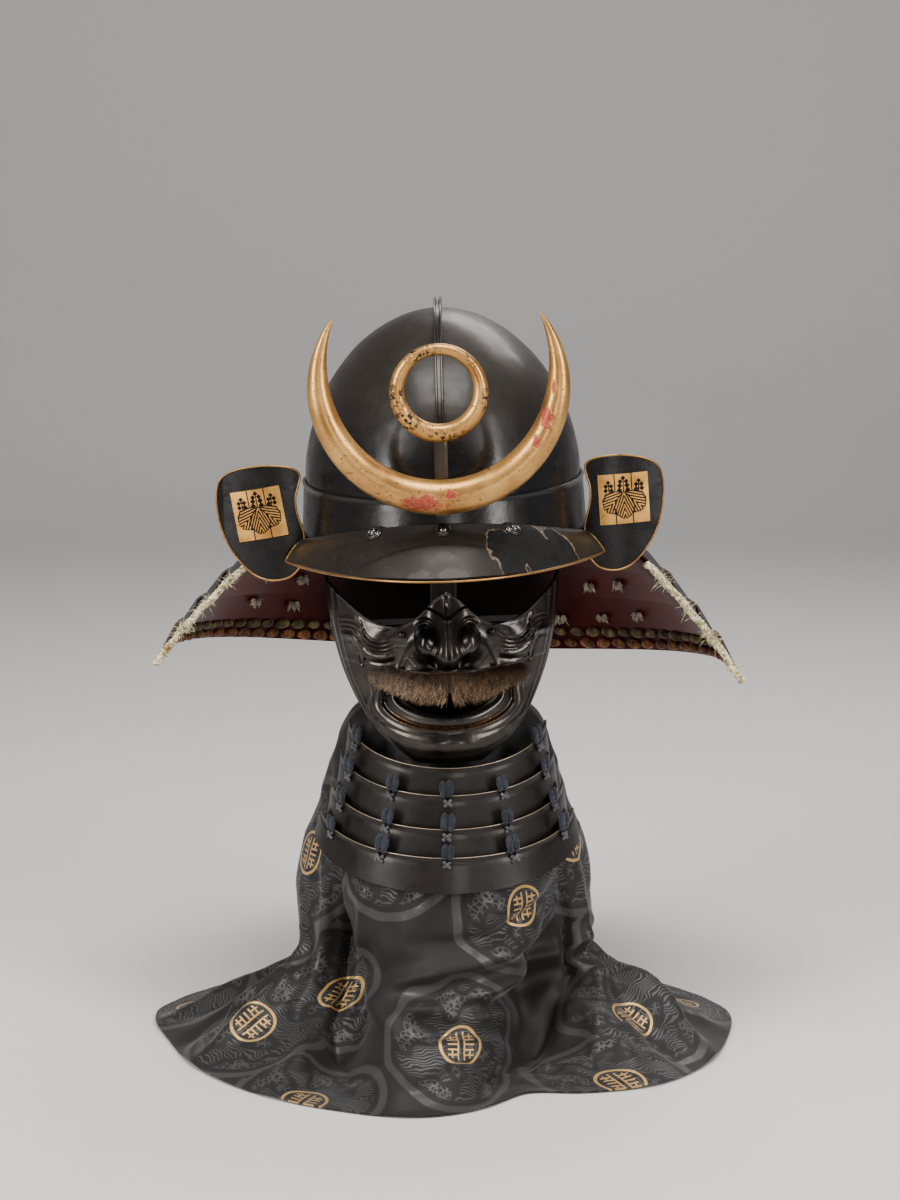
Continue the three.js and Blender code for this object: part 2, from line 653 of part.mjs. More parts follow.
// Cloth cover surface: u runs once round from the back, v from the post to the hem
function coverPoint(u, v) {
  const bearing = (u - 0.5) * TAU;
  const side = sample(coverRows, 'v', 'side', v);
  const ahead = Math.cos(bearing) > 0 ? sample(coverRows, 'v', 'front', v) : sample(coverRows, 'v', 'back', v);
  const reach = 1 / Math.hypot(Math.sin(bearing) / side, Math.cos(bearing) / ahead);
  const along = THREE.MathUtils.clamp((v - 0.5) / 0.5, 0, 1);
  let relief = 0;
  for (const fold of folds) {
    const centre = lerp(fold.waist, fold.hem, along);
    const off = ((THREE.MathUtils.radToDeg(bearing) - centre + 540) % 360) - 180;
    relief += fold.depth * hump(off, fold.spread);
  }
  const away = reach + relief * sample(coverRows, 'v', 'fold', v);
  const z = sample(coverRows, 'v', 'z', v) + relief * sample(coverRows, 'v', 'lift', v);
  return new THREE.Vector3(away * Math.sin(bearing), -away * Math.cos(bearing), Math.max(z, cloth.wall + cloth.floorGap));
}

function coverGeometry() {
  const step = 0.004;
  return sheetGeometry(40, 14, true, (u, v, side) => {
    const here = coverPoint(u, v);
    if (side === 0) return here;
    const across = coverPoint(u + step, v).sub(coverPoint(u - step, v));
    const down = coverPoint(u, Math.min(1, v + step)).sub(coverPoint(u, Math.max(0, v - step)));
    const inward = across.cross(down).normalize();
    if (inward.z > 0) inward.negate();
    here.addScaledVector(inward, cloth.wall);
    here.z = Math.max(here.z, cloth.floorGap);
    return here;
  });
}

const helmet = new THREE.Group();
helmet.position.z = helmetPivotZ;
helmet.rotation.y = helmetRoll;
const helmetParts = new THREE.Group();
helmetParts.position.z = -helmetPivotZ;
helmet.add(helmetParts);

helmetParts.add(piece('bowl_shell', bowlGeometry(), finishes.lacquer));
helmetParts.add(piece('bowl_ridge', ridgeGeometry(), finishes.lacquer));
helmetParts.add(piece('brow_band', bandGeometry(), finishes.lacquer));
helmetParts.add(piece('peak', sheetGeometry(22, 3, false, peakPoint), finishes.lacquer));
helmetParts.add(piece('peak_rim', peakRimGeometry(), finishes.rimGold));
[-1, 0, 1].forEach((place, k) => {
  const mesh = piece(`peak_rivet_${k + 1}`, rivetGeometry(), finishes.iron);
  const u = (1 + (place * rivet.angle) / peak.innerAngle) / 2;
  helmetParts.add(standOn(mesh, peakPoint, u, rivet.fall));
});
helmetParts.add(piece('crest_holder', holderGeometry(), finishes.iron));
helmetParts.add(piece('crest_crescent', crescentGeometry(), finishes.gold));
helmetParts.add(piece('crest_ring', ringGeometry(), finishes.gold));
helmetParts.add(piece('turn_back_left', turnBackGeometry(-1), finishes.lacquer));
helmetParts.add(piece('turn_back_right', turnBackGeometry(1), finishes.lacquer));
for (let k = 0; k < neckLames; k += 1) {
  helmetParts.add(piece(`neck_lame_${k + 1}`, neckLameGeometry(k), finishes.redLacquer));
}
helmetParts.add(piece('edge_cord_left', edgeCordGeometry(0), finishes.cord));
helmetParts.add(piece('edge_cord_right', edgeCordGeometry(1), finishes.cord));
helmetParts.add(piece('knot_band', knotBandGeometry(), finishes.knots));

const face = new THREE.Group();
face.position.set(maskShiftX, 0, maskPivotZ);
face.rotation.set(0, maskRoll, maskTurn);
const faceParts = new THREE.Group();
faceParts.position.z = -maskPivotZ;
face.add(faceParts);
const maskPieces = maskGeometries();
faceParts.add(piece('mask_shell', maskPieces.shell, finishes.iron));
faceParts.add(piece('mask_nose', maskPieces.nose, finishes.iron));
faceParts.add(piece('moustache', moustacheGeometry(), finishes.hair));
const bar = piece('mask_bar', new THREE.BoxGeometry(maskBar.half * 2, maskBar.thick, maskBar.height), finishes.wood);
bar.position.set(0, maskBar.thick / 2 - maskBar.depth, maskBar.z);
faceParts.add(bar);
[-1, 1].forEach((hand) => {
  const mesh = piece(hand < 0 ? 'mask_pin_left' : 'mask_pin_right', pinGeometry(), finishes.iron);
  const x = hand * pin.x;
  mesh.rotation.set(Math.PI / 2, 0, radians(hand * pin.turn), 'ZYX');
  mesh.position.set(x, -faceDepth(Math.abs(x), pin.z) - pin.clear, pin.z);
  faceParts.add(mesh);
});

const throatGuard = new THREE.Group();
throatGuard.position.x = throat.shiftX;
throatRows.forEach((row, k) => {
  throatGuard.add(piece(`throat_lame_${k + 1}`, throatLameGeometry(row), finishes.iron));
});

const stand = new THREE.Group();
stand.add(piece('display_stand', latheGeometry(standRows, 20), finishes.wood));
stand.add(piece('stand_post', latheGeometry(postRows, 12), finishes.wood));
stand.add(piece('stand_cover', coverGeometry(), finishes.silk));

const assembly = new THREE.Group();
assembly.add(stand, helmet, face, throatGuard);

export default assembly;
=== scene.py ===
import bpy
import bmesh
import math
import random
from mathutils import Matrix, Vector, noise


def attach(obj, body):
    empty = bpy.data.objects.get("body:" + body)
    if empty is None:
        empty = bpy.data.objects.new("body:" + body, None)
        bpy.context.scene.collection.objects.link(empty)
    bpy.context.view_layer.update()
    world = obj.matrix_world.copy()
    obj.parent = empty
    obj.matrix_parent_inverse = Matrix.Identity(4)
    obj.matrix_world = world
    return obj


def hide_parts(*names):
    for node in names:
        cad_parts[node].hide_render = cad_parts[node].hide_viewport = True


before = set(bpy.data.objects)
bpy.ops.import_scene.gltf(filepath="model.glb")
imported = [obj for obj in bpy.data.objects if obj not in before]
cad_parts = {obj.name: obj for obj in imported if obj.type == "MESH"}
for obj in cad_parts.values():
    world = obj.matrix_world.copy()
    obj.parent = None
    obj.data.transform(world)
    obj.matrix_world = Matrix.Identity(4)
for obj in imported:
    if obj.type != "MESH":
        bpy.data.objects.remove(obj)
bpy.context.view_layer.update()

# the photograph's view: 2 m away and 11 degrees above level
cameraPlace = {"x": 0.005, "y": -1.963, "z": 0.7136, "lens": 79.2, "pitchDown": 11.0}

cameraData = bpy.data.cameras.new("camera")
cameraData.lens = cameraPlace["lens"]
camera = bpy.data.objects.new("camera", cameraData)
bpy.context.scene.collection.objects.link(camera)
camera.location = (cameraPlace["x"], cameraPlace["y"], cameraPlace["z"])
camera.rotation_euler = (math.radians(90 - cameraPlace["pitchDown"]), 0, 0)
bpy.context.scene.camera = camera

# the helmet leans on its stand, and the mask is turned a little to one side
stance = {"helmetRoll": -1.8, "helmetPivot": 0.42, "maskRoll": -1.4, "maskTurn": 3.0,
          "maskPivot": 0.32, "maskShift": -0.002, "throatShift": 0.003}


def about(pivot, turn):
    return Matrix.Translation(pivot) @ turn @ Matrix.Translation(-pivot)


helmetStance = about(Vector((0, 0, stance["helmetPivot"])),
                     Matrix.Rotation(math.radians(stance["helmetRoll"]), 4, "Y"))
maskStance = Matrix.Translation((stance["maskShift"], 0, 0)) @ about(
    Vector((0, 0, stance["maskPivot"])),
    Matrix.Rotation(math.radians(stance["maskRoll"]), 4, "Y")
    @ Matrix.Rotation(math.radians(stance["maskTurn"]), 4, "Z"))
throatStance = Matrix.Translation((stance["throatShift"], 0, 0))


# modelling helpers
def addObject(name, data):
    obj = bpy.data.objects.new(name, data)
    bpy.context.scene.collection.objects.link(obj)
    return obj


def clearSelection():
    if bpy.context.mode != "OBJECT":
        bpy.ops.object.mode_set(mode="OBJECT")
    bpy.ops.object.select_all(action="DESELECT")


def pick(obj):
    clearSelection()
    obj.select_set(True)
    bpy.context.view_layer.objects.active = obj


def applyModifier(obj, kind, **settings):
    pick(obj)
    modifier = obj.modifiers.new(kind.lower(), kind)
    for key, value in settings.items():
        setattr(modifier, key, value)
    bpy.ops.object.modifier_apply(modifier=modifier.name)


def cleanMesh(obj, merge=0.00002):
    pick(obj)
    editWhole()
    bpy.ops.mesh.remove_doubles(threshold=merge)
    bpy.ops.mesh.normals_make_consistent(inside=False)
    bpy.ops.object.mode_set(mode="OBJECT")


# opens the active object with everything in it selected
def editWhole():
    bpy.ops.object.mode_set(mode="EDIT")
    bpy.ops.mesh.select_all(action="SELECT")


def joinPieces(pieces):
    pick(pieces[0])
    for obj in pieces[1:]:
        obj.select_set(True)
    bpy.ops.object.join()
    return pieces[0]


# goes once a piece is shaped: name, smoothing, place in its mesh, finish and what it stands for
def finishPiece(obj, name, finish, stanceOf=None, standsFor=(), smoothAngle=35):
    pick(obj)
    bpy.ops.object.transform_apply(location=True, rotation=True, scale=True)
    if stanceOf is not None:
        obj.data.transform(stanceOf)
    obj.name = name
    obj.data.materials.clear()
    obj.data.materials.append(finish)
    bpy.ops.object.shade_smooth_by_angle(angle=math.radians(smoothAngle))
    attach(obj, "root")
    if standsFor:
        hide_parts(*standsFor)
    return obj


# value of a table's column at a place along it, on a smooth curve through its rows
def sample(rows, along, column, place):
    k = 0
    while k < len(rows) - 2 and place > rows[k + 1][along]:
        k += 1

    def slope(i):
        before, after = rows[max(i - 1, 0)], rows[min(i + 1, len(rows) - 1)]
        return (after[column] - before[column]) / (after[along] - before[along])

    step = rows[k + 1][along] - rows[k][along]
    s = min(1, max(0, (place - rows[k][along]) / step))
    ends = rows[k][column] * (2 * s ** 3 - 3 * s ** 2 + 1) + rows[k + 1][column] * (3 * s ** 2 - 2 * s ** 3)
    return ends + step * (slope(k) * (s ** 3 - 2 * s ** 2 + s) + slope(k + 1) * (s ** 3 - s ** 2))


def blendTo(a, b, s):
    return a + (b - a) * s


def clamp(value):
    return min(1, max(0, value))


def hump(offset, spread):
    return math.exp(-((offset / spread) ** 2))


# a grid laid over a surface given as point(u, v), both from 0 to 1
def layGrid(across, down, point, closed=False):
    clearSelection()
    bpy.ops.mesh.primitive_grid_add(x_subdivisions=across, y_subdivisions=down, size=2)
    obj = bpy.context.object
    for vertex in obj.data.vertices:
        u, v = (vertex.co.x + 1) / 2, (1 - vertex.co.y) / 2
        vertex.co = point(clamp(u), clamp(v))
    if closed:
        cleanMesh(obj)
    return obj


# gives a surface its wall, on the side away from outside
def thicken(obj, wall, outside):
    mesh = obj.data
    facing = sum(p.normal.dot(outside(p.center)) * p.area for p in mesh.polygons)
    if facing < 0:
        mesh.flip_normals()
    applyModifier(obj, "SOLIDIFY", thickness=wall, offset=-1, use_even_offset=False)
    return obj


def awayFromAxis(centre):
    return Vector((centre.x, centre.y, 0))


def toFront(_):
    return Vector((0, -1, 0))


# a round rod along points
def layRod(points, radius, sides=8, closed=False):
    curve = bpy.data.curves.new("rod", "CURVE")
    curve.dimensions = "3D"
    curve.bevel_depth = radius
    curve.bevel_resolution = max(0, sides // 2 - 2)
    curve.use_fill_caps = True
    curve.resolution_u = 1
    line = curve.splines.new("POLY")
    line.points.add(len(points) - 1)
    for k, place in enumerate(points):
        line.points[k].co = (*place, 1)
    line.use_cyclic_u = closed
    pick(addObject("rod", curve))
    bpy.ops.object.convert(target="MESH")
    return bpy.context.object


# one mesh from many placed copies of another, each with its own matrix
def scatterCopies(source, places):
    mesh = bpy.data.meshes.new(source.name + "Copies")
    work = bmesh.new()
    for place in places:
        start = len(work.verts)
        work.from_mesh(source.data)
        work.verts.ensure_lookup_table()
        for vertex in work.verts[start:]:
            vertex.co = place @ vertex.co
    work.to_mesh(mesh)
    work.free()
    obj = addObject(source.name + "Copies", mesh)
    bpy.data.objects.remove(source)
    return obj


# a frame at a point whose z looks along out and whose x runs along side
def placeAt(point, out, side):
    zAxis = out.normalized()
    xAxis = (side - zAxis * side.dot(zAxis)).normalized()
    yAxis = zAxis.cross(xAxis)
    return Matrix.Translation(point) @ Matrix((xAxis, yAxis, zAxis)).transposed().to_4x4()


# materials: newMaterial opens one, the helpers add nodes to it, and finished closes it
painting = {}


def addNode(kind, inputs=None, **settings):
    made = painting["tree"].nodes.new(kind)
    for key, value in settings.items():
        setattr(made, key, value)
    for key, value in (inputs or {}).items():
        if isinstance(value, bpy.types.NodeSocket):
            painting["tree"].links.new(value, made.inputs[key])
        else:
            made.inputs[key].default_value = value
    return made


def newMaterial(name, **sockets):
    material = bpy.data.materials.new(name)
    material.use_nodes = True
    shader = material.node_tree.nodes["Principled BSDF"]
    for key, value in sockets.items():
        shader.inputs[key.replace("_", " ")].default_value = value
    painting.update(material=material, tree=material.node_tree, shader=shader)
    return addNode("ShaderNodeTexCoord").outputs["Object"]


def finished(**sockets):
    for key, socket in sockets.items():
        painting["tree"].links.new(socket, painting["shader"].inputs[key.replace("_", " ")])
    return painting["material"]


def noiseOf(vector, scale, detail=4.0, roughness=0.55):
    return addNode("ShaderNodeTexNoise", {"Vector": vector, "Scale": scale, "Detail": detail,
                                          "Roughness": roughness}).outputs["Fac"]


def stretched(vector, scale, turn=(0, 0, 0)):
    return addNode("ShaderNodeMapping", {"Vector": vector, "Scale": scale, "Rotation": turn}).outputs["Vector"]


def between(value, low, high, toLow=0.0, toHigh=1.0):
    return addNode("ShaderNodeMapRange", {"Value": value, "From Min": low, "From Max": high,
                                                "To Min": toLow, "To Max": toHigh}).outputs["Result"]


def calculate(operation, a, b=0.0):
    return addNode("ShaderNodeMath", {0: a, 1: b}, operation=operation).outputs[0]


def plus(a, b):
    return calculate("ADD", a, b)


def minus(a, b):
    return calculate("SUBTRACT", a, b)


def times(a, b):
    return calculate("MULTIPLY", a, b)


def larger(a, b):
    return calculate("MAXIMUM", a, b)


def mixColor(factor, a, b):
    made = addNode("ShaderNodeMix", data_type="RGBA")
    for key, value in (("Factor", factor), ("A", a), ("B", b)):
        socket = next(s for s in made.inputs if s.name == key and (key == "Factor" or s.type == "RGBA") and s.enabled)
        if isinstance(value, bpy.types.NodeSocket):
            painting["tree"].links.new(value, socket)
        else:
            socket.default_value = value if key == "Factor" else (*value, 1.0)
    return next(s for s in made.outputs if s.type == "RGBA")


def bumpOf(height, distance, strength=1.0):
    return addNode("ShaderNodeBump", {"Height": height, "Distance": distance, "Strength": strength}).outputs["Normal"]


# 1 inside a ragged oval patch, 0 outside
def patchMask(coordinates, centre, radii, ragged=0.5, scale=90.0, soft=0.15):
    placed = addNode("ShaderNodeVectorMath", {0: coordinates, 1: centre}, operation="SUBTRACT").outputs[0]
    sized = addNode("ShaderNodeVectorMath", {0: placed, 1: radii}, operation="DIVIDE").outputs[0]
    away = addNode("ShaderNodeVectorMath", {0: sized}, operation="LENGTH").outputs["Value"]
    rough = times(minus(noiseOf(coordinates, scale), 0.5), 2 * ragged)
    return between(plus(away, rough), 1.0 + soft, 1.0 - soft)


# height above the floor as a socket, for finishes that change up a piece
def heightOf(coordinates):
    return addNode("ShaderNodeSeparateXYZ", {"Vector": coordinates}).outputs["Z"]


def blackLacquer(name="black lacquer", brownFrom=0.46, brownTo=0.5, brown=(0.022, 0.017, 0.013), wear=0.5):
    place = newMaterial(name, Specular_IOR_Level=0.42, Coat_Weight=0.12,
                                                         Coat_Roughness=0.14)
    clouds = noiseOf(place, 14, 5)
    grime = noiseOf(place, 70, 6, 0.65)
    dust = noiseOf(place, 420, 3, 0.6)
    scratch = noiseOf(stretched(place, (30, 900, 60), (0.3, 0.2, 0.5)), 1.0, 3, 0.6)
    height = plus(heightOf(place), times(clouds, 0.03))
    upper = between(height, brownFrom, brownTo)
    base = mixColor(between(clouds, 0.35, 0.7), (0.007, 0.007, 0.0075), (0.014, 0.012, 0.011))
    base = mixColor(upper, base, brown)
    base = mixColor(times(between(dust, 0.66, 0.74), wear), base, (0.10, 0.085, 0.065))
    base = mixColor(times(between(scratch, 0.7, 0.76), wear), base, (0.09, 0.08, 0.065))
    rough = plus(between(grime, 0.3, 0.75, 0.2, 0.4), times(upper, 0.12))
    dents = plus(times(clouds, 1.0), times(grime, 0.12))
    return finished(Base_Color=base, Roughness=rough, Normal=bumpOf(dents, 0.0025, 0.5))


def redLacquer():
    place = newMaterial("red lacquer", Coat_Weight=0.15, Coat_Roughness=0.2, Specular_IOR_Level=0.35)
    facing = addNode("ShaderNodeAttribute", attribute_name="inside").outputs["Fac"]
    clouds = noiseOf(place, 25, 5)
    specks = noiseOf(place, 300, 4, 0.7)
    red = mixColor(between(clouds, 0.3, 0.7), (0.06, 0.006, 0.005), (0.125, 0.012, 0.008))
    across = calculate("ABSOLUTE", addNode("ShaderNodeSeparateXYZ", {0: place}).outputs["X"])
    # painted shade: across the middle the red goes almost black, where the back of the neck guard's inside lies in
    # shade
    paintedShade = between(across, 0.075, 0.13, 1.0, 0.0)
    red = mixColor(paintedShade, red, (0.010, 0.0018, 0.0018))
    black = mixColor(between(specks, 0.62, 0.72), (0.009, 0.008, 0.008), (0.05, 0.035, 0.025))
    rough = between(clouds, 0.3, 0.7, 0.3, 0.46)
    return finished(Base_Color=mixColor(facing, black, red), Roughness=rough,
                    Normal=bumpOf(clouds, 0.002, 0.5))


def oldGold(name, patches=(), speckPatches=(), dim=1.0):
    place = newMaterial(name, Metallic=0.72, Coat_Weight=0.15, Coat_Roughness=0.25)
    clouds = noiseOf(place, 38, 6, 0.6)
    pits = noiseOf(place, 520, 3, 0.6)
    cracks = noiseOf(stretched(place, (140, 140, 700), (0.2, 0.9, 0.3)), 1.0, 2, 0.5)
    dark, light = [tuple(dim * c for c in color) for color in ((0.34, 0.175, 0.06), (0.62, 0.37, 0.14))]
    base = mixColor(between(clouds, 0.3, 0.72), dark, light)
    base = mixColor(between(pits, 0.64, 0.69), base, (0.06, 0.035, 0.016))
    base = mixColor(between(cracks, 0.715, 0.735), base, (0.09, 0.05, 0.02))
    hurt = between(pits, 0.64, 0.69)
    for centre, radii, color in patches:
        worn = patchMask(place, centre, radii, 1.3, 190.0, 0.25)
        worn = times(worn, between(noiseOf(place, 700, 3, 0.6), 0.32, 0.46))
        base = mixColor(times(worn, 0.85), base, color)
        hurt = larger(hurt, worn)
    for centre, radii in speckPatches:
        region = patchMask(place, centre, radii, 0.5, 60.0, 0.5)
        black = between(noiseOf(place, 260, 5, 0.7), 0.56, 0.5)
        lost = times(region, minus(1.0, black))
        base = mixColor(lost, base, (0.012, 0.011, 0.012))
        hurt = larger(hurt, lost)
    rough = plus(between(clouds, 0.3, 0.7, 0.27, 0.42), times(hurt, 0.2))
    sunk = minus(times(clouds, 0.5), hurt)
    return finished(Base_Color=base, Roughness=rough, Normal=bumpOf(sunk, 0.0006, 0.6))


def darkIron(name, base=(0.028, 0.022, 0.019), warm=(0.055, 0.038, 0.028), roughLow=0.2, roughHigh=0.42, metal=0.6):
    place = newMaterial(name, Metallic=metal, Coat_Weight=0.3, Coat_Roughness=0.12)
    clouds = noiseOf(place, 30, 6, 0.6)
    hammer = noiseOf(place, 130, 4, 0.6)
    dust = noiseOf(place, 600, 3, 0.6)
    color = mixColor(between(clouds, 0.35, 0.75), base, warm)
    color = mixColor(between(dust, 0.67, 0.74), color, (0.12, 0.1, 0.08))
    dents = plus(clouds, times(hammer, 0.25))
    return finished(Base_Color=color, Roughness=between(hammer, 0.3, 0.7, roughLow, roughHigh),
                    Normal=bumpOf(dents, 0.0012, 0.5))


def fibre(name, dark, light, scale=900.0, rough=0.85):
    place = newMaterial(name, Roughness=rough, Sheen_Weight=0.3)
    strands = noiseOf(stretched(place, (1.0, 1.0, 0.35)), scale, 3, 0.6)
    soil = noiseOf(place, 60, 4)
    color = mixColor(between(strands, 0.35, 0.65), dark, light)
    color = mixColor(between(soil, 0.45, 0.8), color, tuple(0.55 * c for c in dark))
    return finished(Base_Color=color, Normal=bumpOf(strands, 0.0004, 0.8))


# bowl: an egg-shaped dome with a thin wall
bowlShape = {"halfWidth": 0.103, "halfLength": 0.125, "rise": 0.125, "lip": 0.428, "wall": 0.0024,
             "heightPower": 1.9, "widthPower": 0.52, "hammered": 0.00035}


def bowlWidth(t):
    return max(0.0, 1 - min(1.0, t) ** bowlShape["heightPower"]) ** bowlShape["widthPower"]


def makeBowl():
    clearSelection()
    bpy.ops.mesh.primitive_uv_sphere_add(segments=144, ring_count=96, radius=1)
    obj = bpy.context.object
    editWhole()
    bpy.ops.mesh.bisect(plane_co=(0, 0, 0.0001), plane_no=(0, 0, 1), clear_inner=True)
    bpy.ops.object.mode_set(mode="OBJECT")
    for vertex in obj.data.vertices:
        t = max(0.0, vertex.co.z)
        around = math.atan2(vertex.co.y, vertex.co.x)
        width = bowlWidth(t)
        vertex.co = (bowlShape["halfWidth"] * width * math.cos(around),
                     bowlShape["halfLength"] * width * math.sin(around), bowlShape["lip"] + bowlShape["rise"] * t)
        dent = noise.noise(vertex.co * 42) * bowlShape["hammered"]
        vertex.co += Vector((vertex.co.x, vertex.co.y, vertex.co.z - bowlShape["lip"])).normalized() * dent
    thicken(obj, bowlShape["wall"], lambda centre: centre - Vector((0, 0, bowlShape["lip"])))
    finishPiece(obj, "bowlShell", blackLacquer("bowl lacquer", 0.47, 0.51), helmetStance,
                                 ["bowl_shell"])


makeBowl()

# ridge: a strip on the bowl with two raised edges, which stand up over the crown
ridgeShape = {"half": 0.003, "proud": 0.0078, "frontZ": 0.452, "backZ": 0.44, "edge": 0.0009, "valley": 0.0022,
              "sunk": 0.0006, "steps": 90}


def bowlSide(t, raised):
    return ((bowlShape["halfLength"] + raised) * bowlWidth(t), bowlShape["lip"] + (bowlShape["rise"] + raised) * t)


def makeRidge():
    half, edge = ridgeShape["half"], ridgeShape["edge"]
    low, high = -ridgeShape["sunk"], ridgeShape["proud"]
    profile = [(-half, low), (-half, high - edge), (-half + edge * 0.5, high), (-half + edge * 1.5, high),
               (-half + edge * 2.2, high - ridgeShape["valley"]), (half - edge * 2.2, high - ridgeShape["valley"]),
               (half - edge * 1.5, high), (half - edge * 0.5, high), (half, high - edge), (half, low)]
    clearSelection()
    bpy.ops.mesh.primitive_grid_add(x_subdivisions=ridgeShape["steps"], y_subdivisions=len(profile) - 1, size=2)
    obj = bpy.context.object
    for vertex in obj.data.vertices:
        along, k = vertex.co.x, round((vertex.co.y + 1) / 2 * (len(profile) - 1))
        lowZ = ridgeShape["frontZ"] if along < 0 else ridgeShape["backZ"]
        lowAngle = math.asin((lowZ - bowlShape["lip"]) / bowlShape["rise"])
        t = math.sin(blendTo(math.pi / 2, lowAngle, abs(along)))
        depth, z = bowlSide(t, profile[k][1])
        vertex.co = (profile[k][0], math.copysign(depth, along), z)
    pick(obj)
    bpy.ops.object.mode_set(mode="EDIT")
    bpy.ops.mesh.select_all(action="DESELECT")
    bpy.ops.mesh.select_non_manifold()
    bpy.ops.mesh.edge_face_add()
    bpy.ops.mesh.select_all(action="SELECT")
    bpy.ops.mesh.quads_convert_to_tris()
    bpy.ops.mesh.normals_make_consistent(inside=False)
    bpy.ops.object.mode_set(mode="OBJECT")
    iron = darkIron("ridge lacquer", (0.02, 0.017, 0.015), (0.06, 0.045, 0.032), 0.25, 0.45, 0.4)
    finishPiece(obj, "bowlRidge", iron, helmetStance, ["bowl_ridge"], 50)


makeRidge()

# brow band: a flared band with a rolled upper lip, arched over the face
bandShape = {"topHalf": 0.1045, "footHalf": 0.107, "longer": 0.022, "wall": 0.0022, "sideZ": 0.385, "arch": 0.027,
             "archPower": 1.5, "underPeak": 0.007, "lip": 0.0012, "lipBand": 0.05}


def browZ(bearing):
    return bandShape["sideZ"] + bandShape["arch"] * max(0, math.cos(bearing)) ** bandShape["archPower"]


def bandPoint(u, v):
    bearing = u * 2 * math.pi
    half = blendTo(bandShape["topHalf"], bandShape["footHalf"], v) + bandShape["lip"] * hump(v, bandShape["lipBand"])
    z = blendTo(bowlShape["lip"] - 0.0004, browZ(bearing) - bandShape["underPeak"] * max(0, math.cos(bearing)), v)
    return Vector((half * math.sin(bearing), -(half + bandShape["longer"]) * math.cos(bearing), z))


band = layGrid(160, 24, bandPoint, closed=True)
thicken(band, bandShape["wall"], awayFromAxis)
finishPiece(band, "browBand", blackLacquer("band lacquer", 0.9, 1.0, wear=0.35), helmetStance,
            ["brow_band"])
print("bowl, ridge and band made")

# peak: from the arch of the brow to a level rim, with a soft raised arc over the middle
peakShape = {"wall": 0.0022, "innerAngle": math.radians(66), "half": 0.116, "corner": 0.063, "reach": 0.102,
             "rimZ": 0.378, "crown": 0.0035, "reachPower": 1.7, "arcHeight": 0.0013, "arcHalf": 0.05,
             "arcTop": 0.47, "arcFoot": 0.76, "rimRadius": 0.00085}


def peakPoint(u, v, drop=0.0):
    bearing = (2 * u - 1) * peakShape["innerAngle"]
    turn = (2 * u - 1) * math.pi / 2
    inner = bandShape["footHalf"] + 0.0004 + peakShape["wall"]
    root = Vector((inner * math.sin(bearing), -(inner + bandShape["longer"]) * math.cos(bearing), browZ(bearing)))
    rimDepth = peakShape["corner"] + peakShape["reach"] * max(0, math.cos(turn)) ** peakShape["reachPower"]
    place = root.lerp(Vector((peakShape["half"] * math.sin(turn), -rimDepth, peakShape["rimZ"])), v)
    place.z += peakShape["crown"] * math.sin(math.pi * v) - drop
    across = place.x / peakShape["arcHalf"]
    arc = peakShape["arcTop"] + (peakShape["arcFoot"] - peakShape["arcTop"]) * across ** 2
    if abs(across) < 1.25 and drop == 0:
        fade = max(0.0, 1 - (abs(across) / 1.25) ** 4)
        place.z += peakShape["arcHeight"] * fade / (1 + math.exp((arc - v) * 80))
    return place


# the torn lacquer on the right of the peak, and the rubbed spots at its front edge
def peakLacquer():
    place = newMaterial("peak lacquer", Coat_Weight=0.06, Coat_Roughness=0.2, Specular_IOR_Level=0.4)
    clouds = noiseOf(place, 22, 5)
    grime = noiseOf(place, 120, 5, 0.65)
    dust = noiseOf(place, 520, 3, 0.6)
    base = mixColor(between(clouds, 0.3, 0.7), (0.013, 0.011, 0.009), (0.027, 0.021, 0.015))
    base = mixColor(between(dust, 0.65, 0.72), base, (0.08, 0.065, 0.045))
    for centre, radii in (((-0.0175, -0.1635, 0.383), (0.009, 0.0042, 0.02)),
                          ((0.0095, -0.1645, 0.383), (0.0115, 0.0042, 0.02))):
        rubbed = patchMask(place, centre, radii, 0.8, 150.0, 0.1)
        base = mixColor(times(rubbed, 0.45), base, (0.075, 0.07, 0.066))
    tear, border = 0.0, 0.0
    for centre, radii in (((0.086, -0.108, 0.39), (0.016, 0.0115)), ((0.066, -0.125, 0.39), (0.021, 0.0155)),
                          ((0.046, -0.140, 0.39), (0.014, 0.0125))):
        lost = patchMask(place, centre, (*radii, 0.06), 0.55, 105.0, 0.03)
        wider = patchMask(place, centre, (radii[0] + 0.0012, radii[1] + 0.0012, 0.06), 0.55, 105.0, 0.03)
        tear, border = larger(lost, tear), larger(wider, border)
    edge = minus(border, tear)
    chips = times(edge, between(noiseOf(place, 210, 4, 0.6), 0.36, 0.5))
    bare = mixColor(between(grime, 0.42, 0.75), (0.003, 0.003, 0.003), (0.018, 0.017, 0.016))
    base = mixColor(tear, base, bare)
    base = mixColor(chips, base, (0.22, 0.17, 0.12))
    rough = plus(between(grime, 0.3, 0.7, 0.34, 0.5), times(tear, 0.3))
    level = plus(times(clouds, 0.4), times(chips, 0.3))
    broken = times(tear, minus(1.2, grime))
    level = minus(level, broken)
    return finished(Base_Color=base, Roughness=rough, Normal=bumpOf(level, 0.0012, 0.8))


peak = layGrid(170, 60, peakPoint)
thicken(peak, peakShape["wall"], lambda centre: Vector((0, -0.3, 1)))
finishPiece(peak, "peak", peakLacquer(), helmetStance, ["peak"])


